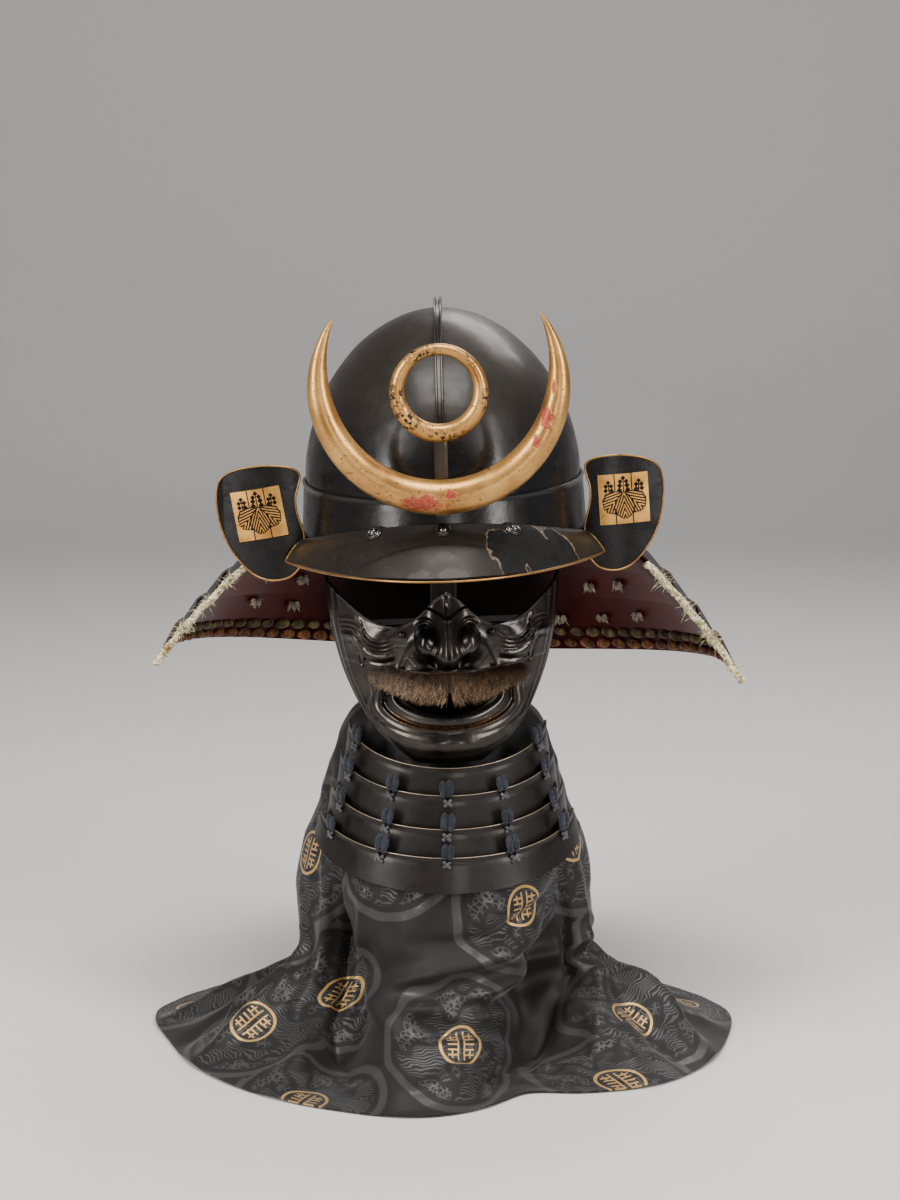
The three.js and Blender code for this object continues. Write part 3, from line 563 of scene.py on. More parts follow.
def makePeakRim():
    points = []
    steps = 72
    for k in range(steps + 1):
        rim = peakPoint(k / steps, 1, peakShape["wall"] * 0.5)
        outward = rim - peakPoint(k / steps, 0.7, peakShape["wall"] * 0.5)
        outward.z = 0
        points.append(rim + outward.normalized() * 0.0007)
    left = [peakPoint(0, v, peakShape["wall"] * 0.5) for v in (0.35, 0.55, 0.75, 0.9)]
    right = [peakPoint(1, v, peakShape["wall"] * 0.5) for v in (0.9, 0.75, 0.55, 0.35)]
    rod = layRod([p + Vector((-0.0007, 0, 0)) for p in left] + points + [p + Vector((0.0007, 0, 0)) for p in right],
                 peakShape["rimRadius"], 10)
    finishPiece(rod, "peakRim", rimGold, helmetStance, ["peak_rim"], 60)


rimGold = oldGold("rim gold", dim=0.7)
makePeakRim()

# rosette rivets: a petalled washer with a round head
rivetShape = {"radius": 0.0064, "petals": 12, "washer": 0.0009, "head": 0.0031, "headRise": 0.0026,
              "angle": math.radians(25), "fall": 0.16}


def makeRivet():
    clearSelection()
    bpy.ops.mesh.primitive_cylinder_add(vertices=rivetShape["petals"] * 2, radius=rivetShape["radius"],
                                        depth=rivetShape["washer"], location=(0, 0, rivetShape["washer"] / 2))
    washer = bpy.context.object
    bpy.ops.object.transform_apply(location=True)
    for vertex in washer.data.vertices:
        around = math.atan2(vertex.co.y, vertex.co.x)
        petal = 0.9 + 0.1 * abs(math.cos(around * rivetShape["petals"] / 2))
        vertex.co.x *= petal
        vertex.co.y *= petal
    applyModifier(washer, "BEVEL", width=0.0003, segments=2)
    bpy.ops.mesh.primitive_torus_add(major_segments=24, minor_segments=8, major_radius=0.004, minor_radius=0.0007,
                                     location=(0, 0, rivetShape["washer"]))
    collar = bpy.context.object
    bpy.ops.mesh.primitive_uv_sphere_add(segments=20, ring_count=12, radius=rivetShape["head"],
                                         location=(0, 0, rivetShape["washer"]))
    head = bpy.context.object
    head.scale.z = rivetShape["headRise"] / rivetShape["head"]
    pick(head)
    bpy.ops.object.transform_apply(scale=True)
    return joinPieces([washer, collar, head])


rivetIron = darkIron("rivet iron", (0.12, 0.11, 0.1), (0.26, 0.24, 0.22), 0.18, 0.32, 0.95)
for k, place in enumerate((-1, 0, 1)):
    u = (1 + place * rivetShape["angle"] / peakShape["innerAngle"]) / 2
    here = peakPoint(u, rivetShape["fall"])
    across = peakPoint(u + 0.01, rivetShape["fall"]) - peakPoint(u - 0.01, rivetShape["fall"])
    down = peakPoint(u, rivetShape["fall"] + 0.01) - peakPoint(u, rivetShape["fall"] - 0.01)
    rivet = makeRivet()
    outward = down.cross(across)
    if outward.z < 0:
        outward.negate()
    rivet.data.transform(placeAt(here, outward, across))
    finishPiece(rivet, f"peakRivet{k + 1}", rivetIron, helmetStance, [f"peak_rivet_{k + 1}"], 40)
print("peak made")

# crest: a flat holder, a crescent that tapers to both tips, and a ring of uneven thickness
crestShape = {"holderHalf": 0.00475, "holderFront": 0.136, "holderThick": 0.003, "holderFoot": 0.421,
              "holderTop": 0.482, "footDepth": 0.1326, "footHeight": 0.006, "footIn": 0.0035, "gap": 0.0004,
              "outerZ": 0.513, "outerRadius": 0.0915, "innerZ": 0.521, "innerRadius": 0.075,
              "reach": math.radians(124), "taperFrom": math.radians(72), "ringZ": 0.507, "ringRadius": 0.0291,
              "ringTube": 0.0053, "ringSwell": 0.0012}


def makeHolder():
    clearSelection()
    c = crestShape
    bpy.ops.mesh.primitive_cube_add(size=1, location=(0, -c["holderFront"] + c["holderThick"] / 2,
                                                      (c["holderFoot"] + c["holderTop"]) / 2))
    obj = bpy.context.object
    obj.scale = (2 * c["holderHalf"], c["holderThick"], c["holderTop"] - c["holderFoot"])
    bpy.ops.object.transform_apply(location=True, scale=True)
    editWhole()
    bpy.ops.mesh.subdivide(number_cuts=3)
    bpy.ops.object.mode_set(mode="OBJECT")
    footMiddle = -(c["footDepth"] + c["holderFront"]) / 2 + 0.001
    bpy.ops.mesh.primitive_cube_add(size=1, location=(0, footMiddle, c["holderFoot"]))
    foot = bpy.context.object
    foot.scale = (2 * c["holderHalf"], c["holderFront"] - c["footDepth"] + c["footIn"], c["footHeight"])
    pick(foot)
    bpy.ops.object.transform_apply(location=True, scale=True)
    obj = joinPieces([obj, foot])
    applyModifier(obj, "BEVEL", width=0.0005, segments=2, limit_method="ANGLE")
    iron = darkIron("holder iron", (0.045, 0.038, 0.03), (0.1, 0.08, 0.055), 0.3, 0.5, 0.7)
    finishPiece(obj, "crestHolder", iron, helmetStance, ["crest_holder"], 40)


def makeCrescent():
    c = crestShape
    thickest = (c["outerRadius"] - c["innerRadius"] + c["innerZ"] - c["outerZ"]) / 2
    depth = c["holderFront"] + c["gap"] + thickest
    lower = c["innerZ"] - c["outerZ"]

    def crescentPoint(u, v):
        bearing = (2 * u - 1) * c["reach"]
        rise = -math.cos(bearing) * lower
        inner = rise + math.sqrt(rise ** 2 + c["innerRadius"] ** 2 - lower ** 2)
        past = max(0.0, abs(bearing) - c["taperFrom"]) / (c["reach"] - c["taperFrom"])
        thick = (c["outerRadius"] - inner) / 2 * max(0.0, 1 - past ** 2) ** 0.75
        away = (c["outerRadius"] + inner) / 2 + thick * math.cos(v * 2 * math.pi)
        return Vector((away * math.sin(bearing), -depth - thick * math.sin(v * 2 * math.pi),
                       c["outerZ"] - away * math.cos(bearing)))

    obj = layGrid(200, 40, crescentPoint, closed=True)
    red = (0.33, 0.045, 0.05)
    patches = [((-0.0125, -0.161, 0.4305), (0.0145, 0.01, 0.0055), red),
               ((0.006, -0.161, 0.4375), (0.004, 0.01, 0.003), red),
               ((0.0715, -0.156, 0.4905), (0.0045, 0.01, 0.007), red),
               ((0.065, -0.158, 0.4735), (0.0028, 0.01, 0.004), red),
               ((0.0765, -0.154, 0.511), (0.0016, 0.01, 0.0045), red)]
    finishPiece(obj, "crestCrescent", oldGold("crescent gold", patches), helmetStance,
                                     ["crest_crescent"], 60)


def makeRing():
    c = crestShape
    depth = c["holderFront"] + c["gap"] + c["ringTube"] + c["ringSwell"]
    clearSelection()
    bpy.ops.mesh.primitive_torus_add(major_segments=120, minor_segments=32, major_radius=c["ringRadius"],
                                     minor_radius=c["ringTube"], rotation=(math.pi / 2, 0, 0))
    obj = bpy.context.object
    bpy.ops.object.transform_apply(rotation=True)
    for vertex in obj.data.vertices:
        bearing = math.atan2(vertex.co.x, -vertex.co.z)
        middle = Vector((math.sin(bearing), 0, -math.cos(bearing))) * c["ringRadius"]
        swell = 1 + c["ringSwell"] / c["ringTube"] * math.cos(bearing)
        vertex.co = middle + (vertex.co - middle) * swell + Vector((0, -depth, c["ringZ"]))
    lost = [((-0.024, -0.149, 0.487), (0.013, 0.02, 0.008)), ((-0.033, -0.149, 0.503), (0.007, 0.02, 0.012)),
            ((-0.018, -0.149, 0.534), (0.012, 0.02, 0.006)), ((0.004, -0.149, 0.476), (0.016, 0.02, 0.004)),
            ((0.031, -0.149, 0.503), (0.004, 0.02, 0.01)), ((0.022, -0.149, 0.531), (0.008, 0.02, 0.004))]
    finishPiece(obj, "crestRing", oldGold("ring gold", (), lost), helmetStance, ["crest_ring"], 60)


makeHolder()
makeCrescent()
makeRing()
print("crest made")

# turn-back plates: places along the outline, distance from the axis and height
turnBackOutline = [(.1212, .3611), (.1291, .3615), (.1370, .3648), (.1441, .3711), (.1501, .3788), (.1548, .3867),
                   (.1579, .3945), (.1602, .4034), (.1615, .4133), (.1618, .4212), (.1610, .4292), (.1587, .4357),
                   (.1531, .4404), (.1454, .4436), (.1356, .4455), (.1259, .4460), (.1161, .4452), (.1092, .4434),
                   (.1052, .4404), (.1043, .4362), (.1057, .4300), (.1076, .4229), (.1078, .4160), (.1066, .4080),
                   (.1044, .4002), (.1030, .3930), (.1036, .3810), (.1070, .3700), (.1132, .3635)]
turnBackShape = {"depth": 0.056, "innerBend": 0.006, "sweep": 0.012, "wall": 0.0018, "rim": 0.0007, "rimOut": 0.0004,
                 "middle": (0.131, 0.405), "widerLeft": 0.005, "around": 160, "rings": 34}


def turnBackPlane(x):
    u = clamp((abs(x) - 0.103) / 0.059)
    return -(turnBackShape["depth"] - turnBackShape["innerBend"] * (1 - u) ** 3 - turnBackShape["sweep"] * u ** 2)


# a point of the plate: u runs round its outline and v from its middle to the outline
def turnBackPoint(hand, u, v, lift=0.0):
    rows, k = turnBackOutline, int(u * len(turnBackOutline))
    s = u * len(rows) - k
    place = []
    for column in (0, 1):
        p0, p1, p2, p3 = (rows[(k + i) % len(rows)][column] for i in (-1, 0, 1, 2))
        smooth = 0.5 * (2 * p1 + (p2 - p0) * s + (2 * p0 - 5 * p1 + 4 * p2 - p3) * s ** 2
                        + (3 * p1 - p0 - 3 * p2 + p3) * s ** 3)
        place.append(blendTo(turnBackShape["middle"][column], smooth, v))
    x, z = place
    if hand < 0:
        x += turnBackShape["widerLeft"] * clamp((x - 0.103) / 0.059)
    return Vector((hand * x, turnBackPlane(x) - lift, z))


# gilt panels: three gold strips side by side with a spray of leaves and blossoms inked over them
panelShape = {"size": 0.037, "lift": 0.0006, "cells": 150, "seams": (-0.0064, 0.0062), "seam": 0.00045, "line": 0.00055,
              "thick": 0.0006}
panelPlaces = {-1: (0.1353, 0.4105, 0.155), 1: (0.1322, 0.4137, -0.04)}
# leaves: base across and up, tip across and up, half width. Blossoms: across, up and radius
panelLeaves = [(0.0, 0.0035, 0.0004, -0.0150, 0.0074), (-0.0006, 0.0037, -0.0143, -0.0086, 0.0080),
               (0.0008, 0.0037, 0.0149, -0.0084, 0.0080)]
panelStems = [(0.0, 0.003, 0.0, 0.0145), (-0.0105, 0.003, -0.011, 0.0115), (0.011, 0.003, 0.0115, 0.0115)]
panelBlossoms = [(0, .0152, .0013), (-.0022, .0128, .0013), (.0022, .0128, .0013), (-.0027, .0098, .0015),
                 (.0027, .0098, .0015), (-.003, .0064, .0015), (.003, .0064, .0015), (-.011, .0125, .0012),
                 (-.013, .0098, .0013), (-.009, .0098, .0013), (-.0131, .0066, .0013), (-.0088, .0066, .0013),
                 (.0115, .0125, .0012), (.0135, .0098, .0013), (.0095, .0098, .0013), (.0136, .0066, .0013),
                 (.0093, .0066, .0013)]


def panelInk(x, y):
    line = panelShape["line"]
    ink = max(1.0 if abs(x - seam) < panelShape["seam"] else 0.0 for seam in panelShape["seams"])
    for ax, ay, bx, by in panelStems:
        s = clamp((y - ay) / (by - ay))
        if ay <= y <= by and abs(x - blendTo(ax, bx, s)) < line * 0.8:
            ink = 1.0
    for cx, cy, radius in panelBlossoms:
        around, away = math.atan2(y - cy, x - cx), math.hypot(x - cx, y - cy)
        if away < 1.25 * radius * (0.72 + 0.28 * abs(math.cos(around * 2))):
            ink = 1.0
    for ax, ay, bx, by, half in reversed(panelLeaves):
        length = math.hypot(bx - ax, by - ay)
        alongX, alongY = (bx - ax) / length, (by - ay) / length
        s = ((x - ax) * alongX + (y - ay) * alongY) / length
        t = (x - ax) * -alongY + (y - ay) * alongX
        if -0.08 < s < 1:
            lobes = 1 + 0.05 * math.cos(s * 24)
            width = half * lobes * math.sin(math.pi * ((s + 0.08) / 1.08) ** 1.2) ** 0.65
            if abs(t) < width + line:
                vein = (s - 0.95 * abs(t) / half) * 3.9 % 1
                ink = 1.0 if abs(t) > width - line or vein < 0.5 else 0.0
    return ink


def panelFinish():
    place = newMaterial("panel gold", Metallic=0.6)
    ink = addNode("ShaderNodeAttribute", attribute_name="ink").outputs["Fac"]
    clouds = noiseOf(place, 90, 5, 0.6)
    gilt = mixColor(between(clouds, 0.3, 0.7), (0.46, 0.24, 0.075), (0.68, 0.40, 0.14))
    base = mixColor(between(ink, 0.4, 0.6), gilt, (0.012, 0.01, 0.009))
    rough = between(clouds, 0.3, 0.7, 0.26, 0.4)
    return finished(Base_Color=base, Roughness=rough, Normal=bumpOf(minus(1.0, ink), 0.0003, 0.6))


def makePanel(hand, word, finish):
    centreX, centreZ, tilt = panelPlaces[hand]
    clearSelection()
    cells = panelShape["cells"]
    bpy.ops.mesh.primitive_grid_add(x_subdivisions=cells, y_subdivisions=cells, size=panelShape["size"])
    obj = bpy.context.object
    ink = []
    for vertex in obj.data.vertices:
        across, up = vertex.co.x, vertex.co.y
        ink.append(panelInk(across * hand, up))
        x = centreX + hand * (across * math.cos(tilt) + up * math.sin(tilt) * hand)
        z = centreZ - hand * across * math.sin(tilt) + up * math.cos(tilt)
        vertex.co = (hand * x, turnBackPlane(x) - panelShape["lift"], z)
    obj.data.attributes.new("ink", "FLOAT", "POINT").data.foreach_set("value", ink)
    thicken(obj, panelShape["thick"], toFront)
    finishPiece(obj, "giltPanel" + word, finish, helmetStance, (), 50)


def makeTurnBack(hand, word, gold, panelGold):
    around, rings = turnBackShape["around"], turnBackShape["rings"]
    plate = layGrid(around, rings, lambda u, v: turnBackPoint(hand, u, v), closed=True)
    thicken(plate, turnBackShape["wall"], toFront)
    finishPiece(plate, "turnBack" + word, blackLacquer("turn-back lacquer " + word.lower(), 0.7, 0.9, wear=0.6),
                helmetStance, ["turn_back_" + word.lower()])
    edge = [turnBackPoint(hand, k / around, 1, turnBackShape["rimOut"]) for k in range(around)]
    rim = layRod(edge, turnBackShape["rim"], 8, closed=True)
    finishPiece(rim, "turnBackRim" + word, gold, helmetStance, (), 60)
    makePanel(hand, word, panelGold)


turnBackGold, panelGold = oldGold("turn-back gold", dim=0.75), panelFinish()
makeTurnBack(-1, "Left", turnBackGold, panelGold)
makeTurnBack(1, "Right", turnBackGold, panelGold)
print("turn-backs made")

# neck guard: five lames that flare down and outward, red inside and black outside
neckShape = {"wall": 0.0015, "lap": 0.05, "lapLift": 0.004, "endDepth": 0.04, "droop": 0.014, "frontFlat": 0.35,
             "lames": 5, "across": 130, "down": 8, "rimRoll": 0.0006}
neckRows = [(0, .110, .132, .388, .386), (.22, .146, .151, .367, .359), (.5, .178, .171, .335, .322),
            (.75, .200, .187, .309, .287), (1, .219, .200, .283, .252)]


def neckPoint(u, t, raised=0.0):
    side = sample(neckRows, 0, 1, t) + 0.65 * raised
    back = sample(neckRows, 0, 2, t) + 0.65 * raised
    furthest = math.pi / 2 + math.asin(neckShape["endDepth"] / back)
    bearing = (2 * u - 1) * furthest
    reach = abs(math.sin(bearing))
    beside = reach ** neckShape["frontFlat"] if abs(bearing) > math.pi / 2 else reach
    x = math.copysign(side * beside, bearing)
    toBack = max(0, math.cos(bearing)) ** 2
    z = blendTo(sample(neckRows, 0, 3, t), sample(neckRows, 0, 4, t), toBack) + 0.76 * raised
    return Vector((x, back * math.cos(bearing), z - neckShape["droop"] * t * x / side))


def makeNeckLame(k, lacquer):
    top, foot = k / neckShape["lames"], min(1, (k + 1) / neckShape["lames"] + neckShape["lap"])

    def lamePoint(u, v):
        lapped = 0 if k == 0 else neckShape["lapLift"] * (1 - v)
        roll = neckShape["rimRoll"] * hump(v - 1, 0.08)
        return neckPoint(u, blendTo(top, foot, v), lapped + neckShape["wall"] + roll)

    obj = layGrid(neckShape["across"], neckShape["down"], lamePoint)
    outer = len(obj.data.vertices)
    thicken(obj, neckShape["wall"], lambda centre: Vector((centre.x, centre.y, 0.2)))
    inside = obj.data.attributes.new("inside", "FLOAT", "POINT")
    inside.data.foreach_set("value", [1.0 if i >= outer else 0.0 for i in range(len(obj.data.vertices))])
    finishPiece(obj, f"neckLame{k + 1}", lacquer, helmetStance, [f"neck_lame_{k + 1}"])


# level strip that closes the joint between the band and the first lame
weltShape = {"inset": 0.0012, "lift": 0.001, "crown": 0.0008, "wall": 0.0014, "across": 130, "down": 4}


def makeWelt():
    foot = bandShape["footHalf"] - weltShape["inset"]

    def point(u, v):
        edge = neckPoint(u, 0.0)
        bearing = math.atan2(edge.x / foot, -edge.y / (foot + bandShape["longer"]))
        root = Vector((foot * math.sin(bearing), -(foot + bandShape["longer"]) * math.cos(bearing),
                       browZ(bearing) + weltShape["lift"]))
        return edge.lerp(root, v) + Vector((0, 0, weltShape["crown"] * math.sin(math.pi * v)))

    welt = layGrid(weltShape["across"], weltShape["down"], point)
    thicken(welt, weltShape["wall"], lambda centre: Vector((0, 0, 1)))
    finishPiece(welt, "neckWelt", blackLacquer("welt lacquer", 0.9, 1.0, wear=0.3), helmetStance,
                                 (), 60)


makeWelt()
neckLacquer = redLacquer()
for k in range(neckShape["lames"]):
    makeNeckLame(k, neckLacquer)

# lacing: frayed edge cords, two rows of knots inside the rim, and tufts between the lames
cordShape = {"strands": 3, "from": 0.24, "turns": 9, "fray": 360, "frayLength": 0.0085, "strand": 0.0017,
             "wide": 0.0014}
knotShape = {"count": 46, "rowPlaces": (0.888, 0.952), "size": (0.0061, 0.0041, 0.0027)}
tuftShape = {"hairs": 64, "apart": 0.008, "side": 0.0022, "up": 0.012, "lengths": (0.0035, 0.0075)}
tuftPlaces = [(0.2475, 0.70), (0.3075, 0.73), (0.305, 0.53), (0.6875, 0.56), (0.735, 0.54), (0.6875, 0.77),
              (0.7425, 0.75), (0.6325, 0.78), (0.2475, 0.50), (0.31, 0.30), (0.69, 0.32), (0.50, 0.77),
              (0.50, 0.56)]


# thin strands laid as one mesh: each is a list of points with a radius at every point
def laceStrands(name, strands, sides=4):
    work = bmesh.new()
    for points, radii in strands:
        rings = []
        for k, here in enumerate(points):
            ahead = points[min(k + 1, len(points) - 1)] - points[max(k - 1, 0)]
            along = ahead.normalized()
            side = along.cross(Vector((0.3, 0.2, 1))).normalized()
            other = along.cross(side)
            ring = [work.verts.new(here + (side * math.cos(a) + other * math.sin(a)) * radii[k])
                    for a in (2 * math.pi * i / sides for i in range(sides))]
            rings.append(ring)
        for low, high in zip(rings, rings[1:]):
            for i in range(sides):
                work.faces.new((low[i], low[(i + 1) % sides], high[(i + 1) % sides], high[i]))
        work.faces.new(list(reversed(rings[0])))
        work.faces.new(rings[-1])
    bmesh.ops.recalc_face_normals(work, faces=work.faces)
    mesh = bpy.data.meshes.new(name)
    work.to_mesh(mesh)
    work.free()
    return addObject(name, mesh)


def cordFinish(name):
    place = newMaterial(name, Roughness=0.85, Sheen_Weight=0.3)
    strands = noiseOf(place, 420, 3, 0.6)
    worn = noiseOf(place, 75, 3, 0.6)
    dyed = noiseOf(place, 110, 2, 0.5)
    base = mixColor(between(strands, 0.35, 0.6), (0.22, 0.16, 0.08), (0.74, 0.68, 0.47))
    base = mixColor(between(dyed, 0.62, 0.67), base, (0.22, 0.27, 0.09))
    base = mixColor(between(worn, 0.61, 0.68), base, (0.30, 0.15, 0.06))
    return finished(Base_Color=base, Normal=bumpOf(strands, 0.0006, 0.9))


def makeEdgeCord(end, word, seed):
    dice = random.Random(seed)
    along = []
    for k in range(61):
        t = blendTo(cordShape["from"], 1, k / 60)
        along.append(neckPoint(end, t, neckShape["wall"]) + Vector((0, -0.0042, 0.0008)))
    strands = []
    for s in range(cordShape["strands"]):
        points = []
        for k, here in enumerate(along):
            ahead = (along[min(k + 1, 60)] - along[max(k - 1, 0)]).normalized()
            side = ahead.cross(Vector((0, 1, 0))).normalized()
            turn = 2 * math.pi * (cordShape["turns"] * k / 60 + s / cordShape["strands"])
            points.append(here + (side * math.cos(turn) + ahead.cross(side) * math.sin(turn)) * cordShape["wide"])
        uneven = [0.3 * noise.noise(Vector((k * 0.6, s * 5, seed))) for k in range(61)]
        strands.append((points, [cordShape["strand"] * (1 + uneven[k] + 0.3 * math.sin(k * 1.4 + s * 2.1))
                                 for k in range(61)]))
    cord = laceStrands("edgeCord" + word, strands, 8)
    frays = []
    for k in range(cordShape["fray"]):
        here = along[int(min(60, max(0, dice.gauss(dice.choice((8, 22, 36, 37, 38, 52)), 1.6))))]
        out = Vector((dice.uniform(-1, 1), dice.uniform(-1, 0.3), dice.uniform(-0.6, 1))).normalized()
        drift = Vector((dice.uniform(-1, 1), dice.uniform(-1, 0.4), dice.uniform(-1.2, 0.6)))
        length = cordShape["frayLength"] * dice.uniform(0.25, 1)
        points = [here + out * 0.0012 + (out + drift * 0.35 * s) * length * s for s in (0, 0.35, 0.7, 1)]
        frays.append((points, [0.00022, 0.0002, 0.00014, 0.00005]))
    fray = laceStrands("fray", frays, 3)
    whole = joinPieces([cord, fray])
    finish = cordFinish("edge cord " + word.lower())
    finishPiece(whole, "edgeCord" + word, finish, helmetStance, ["edge_cord_" + word.lower()], 60)


# a knot: a short loop of thick braid lying on its side with a tuck at one end
def makeKnot():
    width, height, rise = knotShape["size"]
    clearSelection()
    bpy.ops.mesh.primitive_uv_sphere_add(segments=20, ring_count=12, radius=1)
    obj = bpy.context.object
    for vertex in obj.data.vertices:
        x, y, z = vertex.co
        tuck = 1 - 0.35 * hump(x + 0.55, 0.3) * max(0, z)
        groove = 1 - 0.16 * hump(y - 0.25 * x, 0.16) * max(0, z) + 0.05 * math.sin(14 * (x + y))
        vertex.co = (x * width * (1 - 0.12 * y), y * height * tuck, z * rise * tuck * groove + rise * 0.6)
    return obj


def makeKnotRows():
    rows = []
    for row, t in enumerate(knotShape["rowPlaces"]):
        dice = random.Random(40 + row)
        places = []
        for k in range(knotShape["count"]):
            u = blendTo(0.035, 0.965, (k + 0.5 * row + 0.25) / knotShape["count"])
            lapped = neckShape["lapLift"] * neckShape["lames"] * (1 - t)
            here = neckPoint(u, t, lapped)
            side = neckPoint(min(1, u + 0.004), t, lapped) - neckPoint(max(0, u - 0.004), t, lapped)
            down = neckPoint(u, t + 0.01, lapped) - neckPoint(u, t - 0.01, lapped)
            inward = side.cross(down)
            if inward.dot(Vector((here.x, here.y, 0))) > 0:
                inward.negate()
            turn = Matrix.Rotation(dice.uniform(-0.25, 0.25), 4, "Z") @ Matrix.Scale(dice.uniform(0.85, 1.12), 4)
            places.append(placeAt(here, inward, side) @ turn)
        rows.append(scatterCopies(makeKnot(), places))
    return rows


upper, lower = makeKnotRows()
finishPiece(upper, "knotRowUpper", fibre("olive knots", (0.03, 0.025, 0.01), (0.27, 0.2, 0.085), 260, 0.85),
            helmetStance, ["knot_band"], 50)
finishPiece(lower, "knotRowLower", fibre("brown knots", (0.07, 0.02, 0.008), (0.40, 0.18, 0.065), 260, 0.85),
            helmetStance, (), 50)


def makeTufts():
    dice = random.Random(7)
    strands = []
    for u, t in tuftPlaces:
        for k in range(tuftShape["hairs"]):
            lame = min(neckShape["lames"] - 1, int(t * neckShape["lames"]))
            lapped = 0 if lame == 0 else neckShape["lapLift"] * (1 - (t * neckShape["lames"] - lame))
            column, side, up = k % 2, tuftShape["side"], tuftShape["up"]
            nearU = u + (column - 0.5) * tuftShape["apart"] + dice.uniform(-side, side)
            here = neckPoint(nearU, t + dice.uniform(-up, up), lapped)
            inward = Vector((-here.x, -here.y, 0)).normalized() + Vector((0, 0, -0.5))
            lean = Vector((dice.uniform(-0.5, 0.5), dice.uniform(-0.5, 0.5), dice.uniform(-1.0, -0.2)))
            length = dice.uniform(*tuftShape["lengths"])
            points = [here + inward * 0.001 + (inward * 0.25 * s * (1 - s) * 2 + lean * s) * length
                      for s in (0, 0.35, 0.7, 1)]
            strands.append((points, [0.0005, 0.0005, 0.0004, 0.00018]))
    tufts = laceStrands("tufts", strands, 4)
    finishPiece(tufts, "lacingTufts", fibre("tuft silk", (0.33, 0.27, 0.19), (0.78, 0.72, 0.6), 300, 0.85),
                                     helmetStance, (), 60)


makeEdgeCord(0, "Left", 11)
makeEdgeCord(1, "Right", 12)
makeTufts()
print("neck guard made")

# mask: rows of height, half width, depth of the middle and depth of the back edge
maskRows = [(.229, .024, .094, .084), (.236, .034, .103, .078), (.248, .049, .108, .068), (.262, .060, .104, .057),
            (.280, .070, .099, .044), (.300, .0775, .097, .036), (.331, .084, .095, .034), (.362, .087, .090, .034)]
eyeRows = [(0, .357), (.009, .350), (.022, .338), (.038, .331), (.058, .336), (.074, .348), (.087, .360)]
noseRows = [(.299, 0, .015), (.304, .010, .013), (.309, .025, .012), (.316, .027, .011), (.330, .019, .009),
            (.344, .011, .008), (.360, .007, .007)]
# raised and sunk places: across, height, half width, half height, how far they stand out
faceForms = [(.016, .316, .008, .008, .011), (.055, .322, .017, .009, .005), (.036, .303, .010, .016, -.003),
             (0, .289, .034, .008, .004), (0, .262, .032, .005, .003), (.012, .244, .015, .008, .003)]
maskShape = {"wall": 0.002, "round": 0.8, "crowd": 0.45, "across": 240, "down": 170, "wrinkle": 0.0011, "bead": 0.0009,
             "crease": 0.0016, "lip": 0.0022, "nostril": 0.009, "step": 0.0022, "flange": 0.0012,
             "cutNear": 0.17, "cutFar": 0.05}
# wing of the nose, as a ball and the arch over it: middle, half sizes, and degrees that the arch runs from and to
wingShape = {"x": 0.0165, "z": 0.3220, "ball": (0.0074, 0.0098), "proud": 0.0035, "arch": (0.0104, 0.0142),
             "archFrom": -60, "archTo": 128}
mouthShape = {"half": 0.039, "curve": 0.014, "cornerZ": 0.280, "lowerZ": 0.252, "upperZ": 0.285}


def mouthDistance(x, z):
    a, b = mouthShape["half"], mouthShape["curve"]
    across, up = x / a, (z - mouthShape["cornerZ"]) / b
    r = math.hypot(across, up)
    return (r - 1) * r / max(1e-6, math.hypot(across / a, up / b))


# height and slope of the fold that runs over the cheek, every fifth of a millimetre
cheekRows = [(.036, .3175), (.041, .3150), (.0482, .3134), (.0545, .3148), (.0599, .3185), (.0644, .3250),
             (.069, .3282), (.079, .3262)]
cheekLine = []
for k in range(212):
    here, ahead = sample(cheekRows, 0, 1, 0.036 + k / 5000), sample(cheekRows, 0, 1, 0.0365 + k / 5000)
    cheekLine.append((here, (ahead - here) / 0.0005))


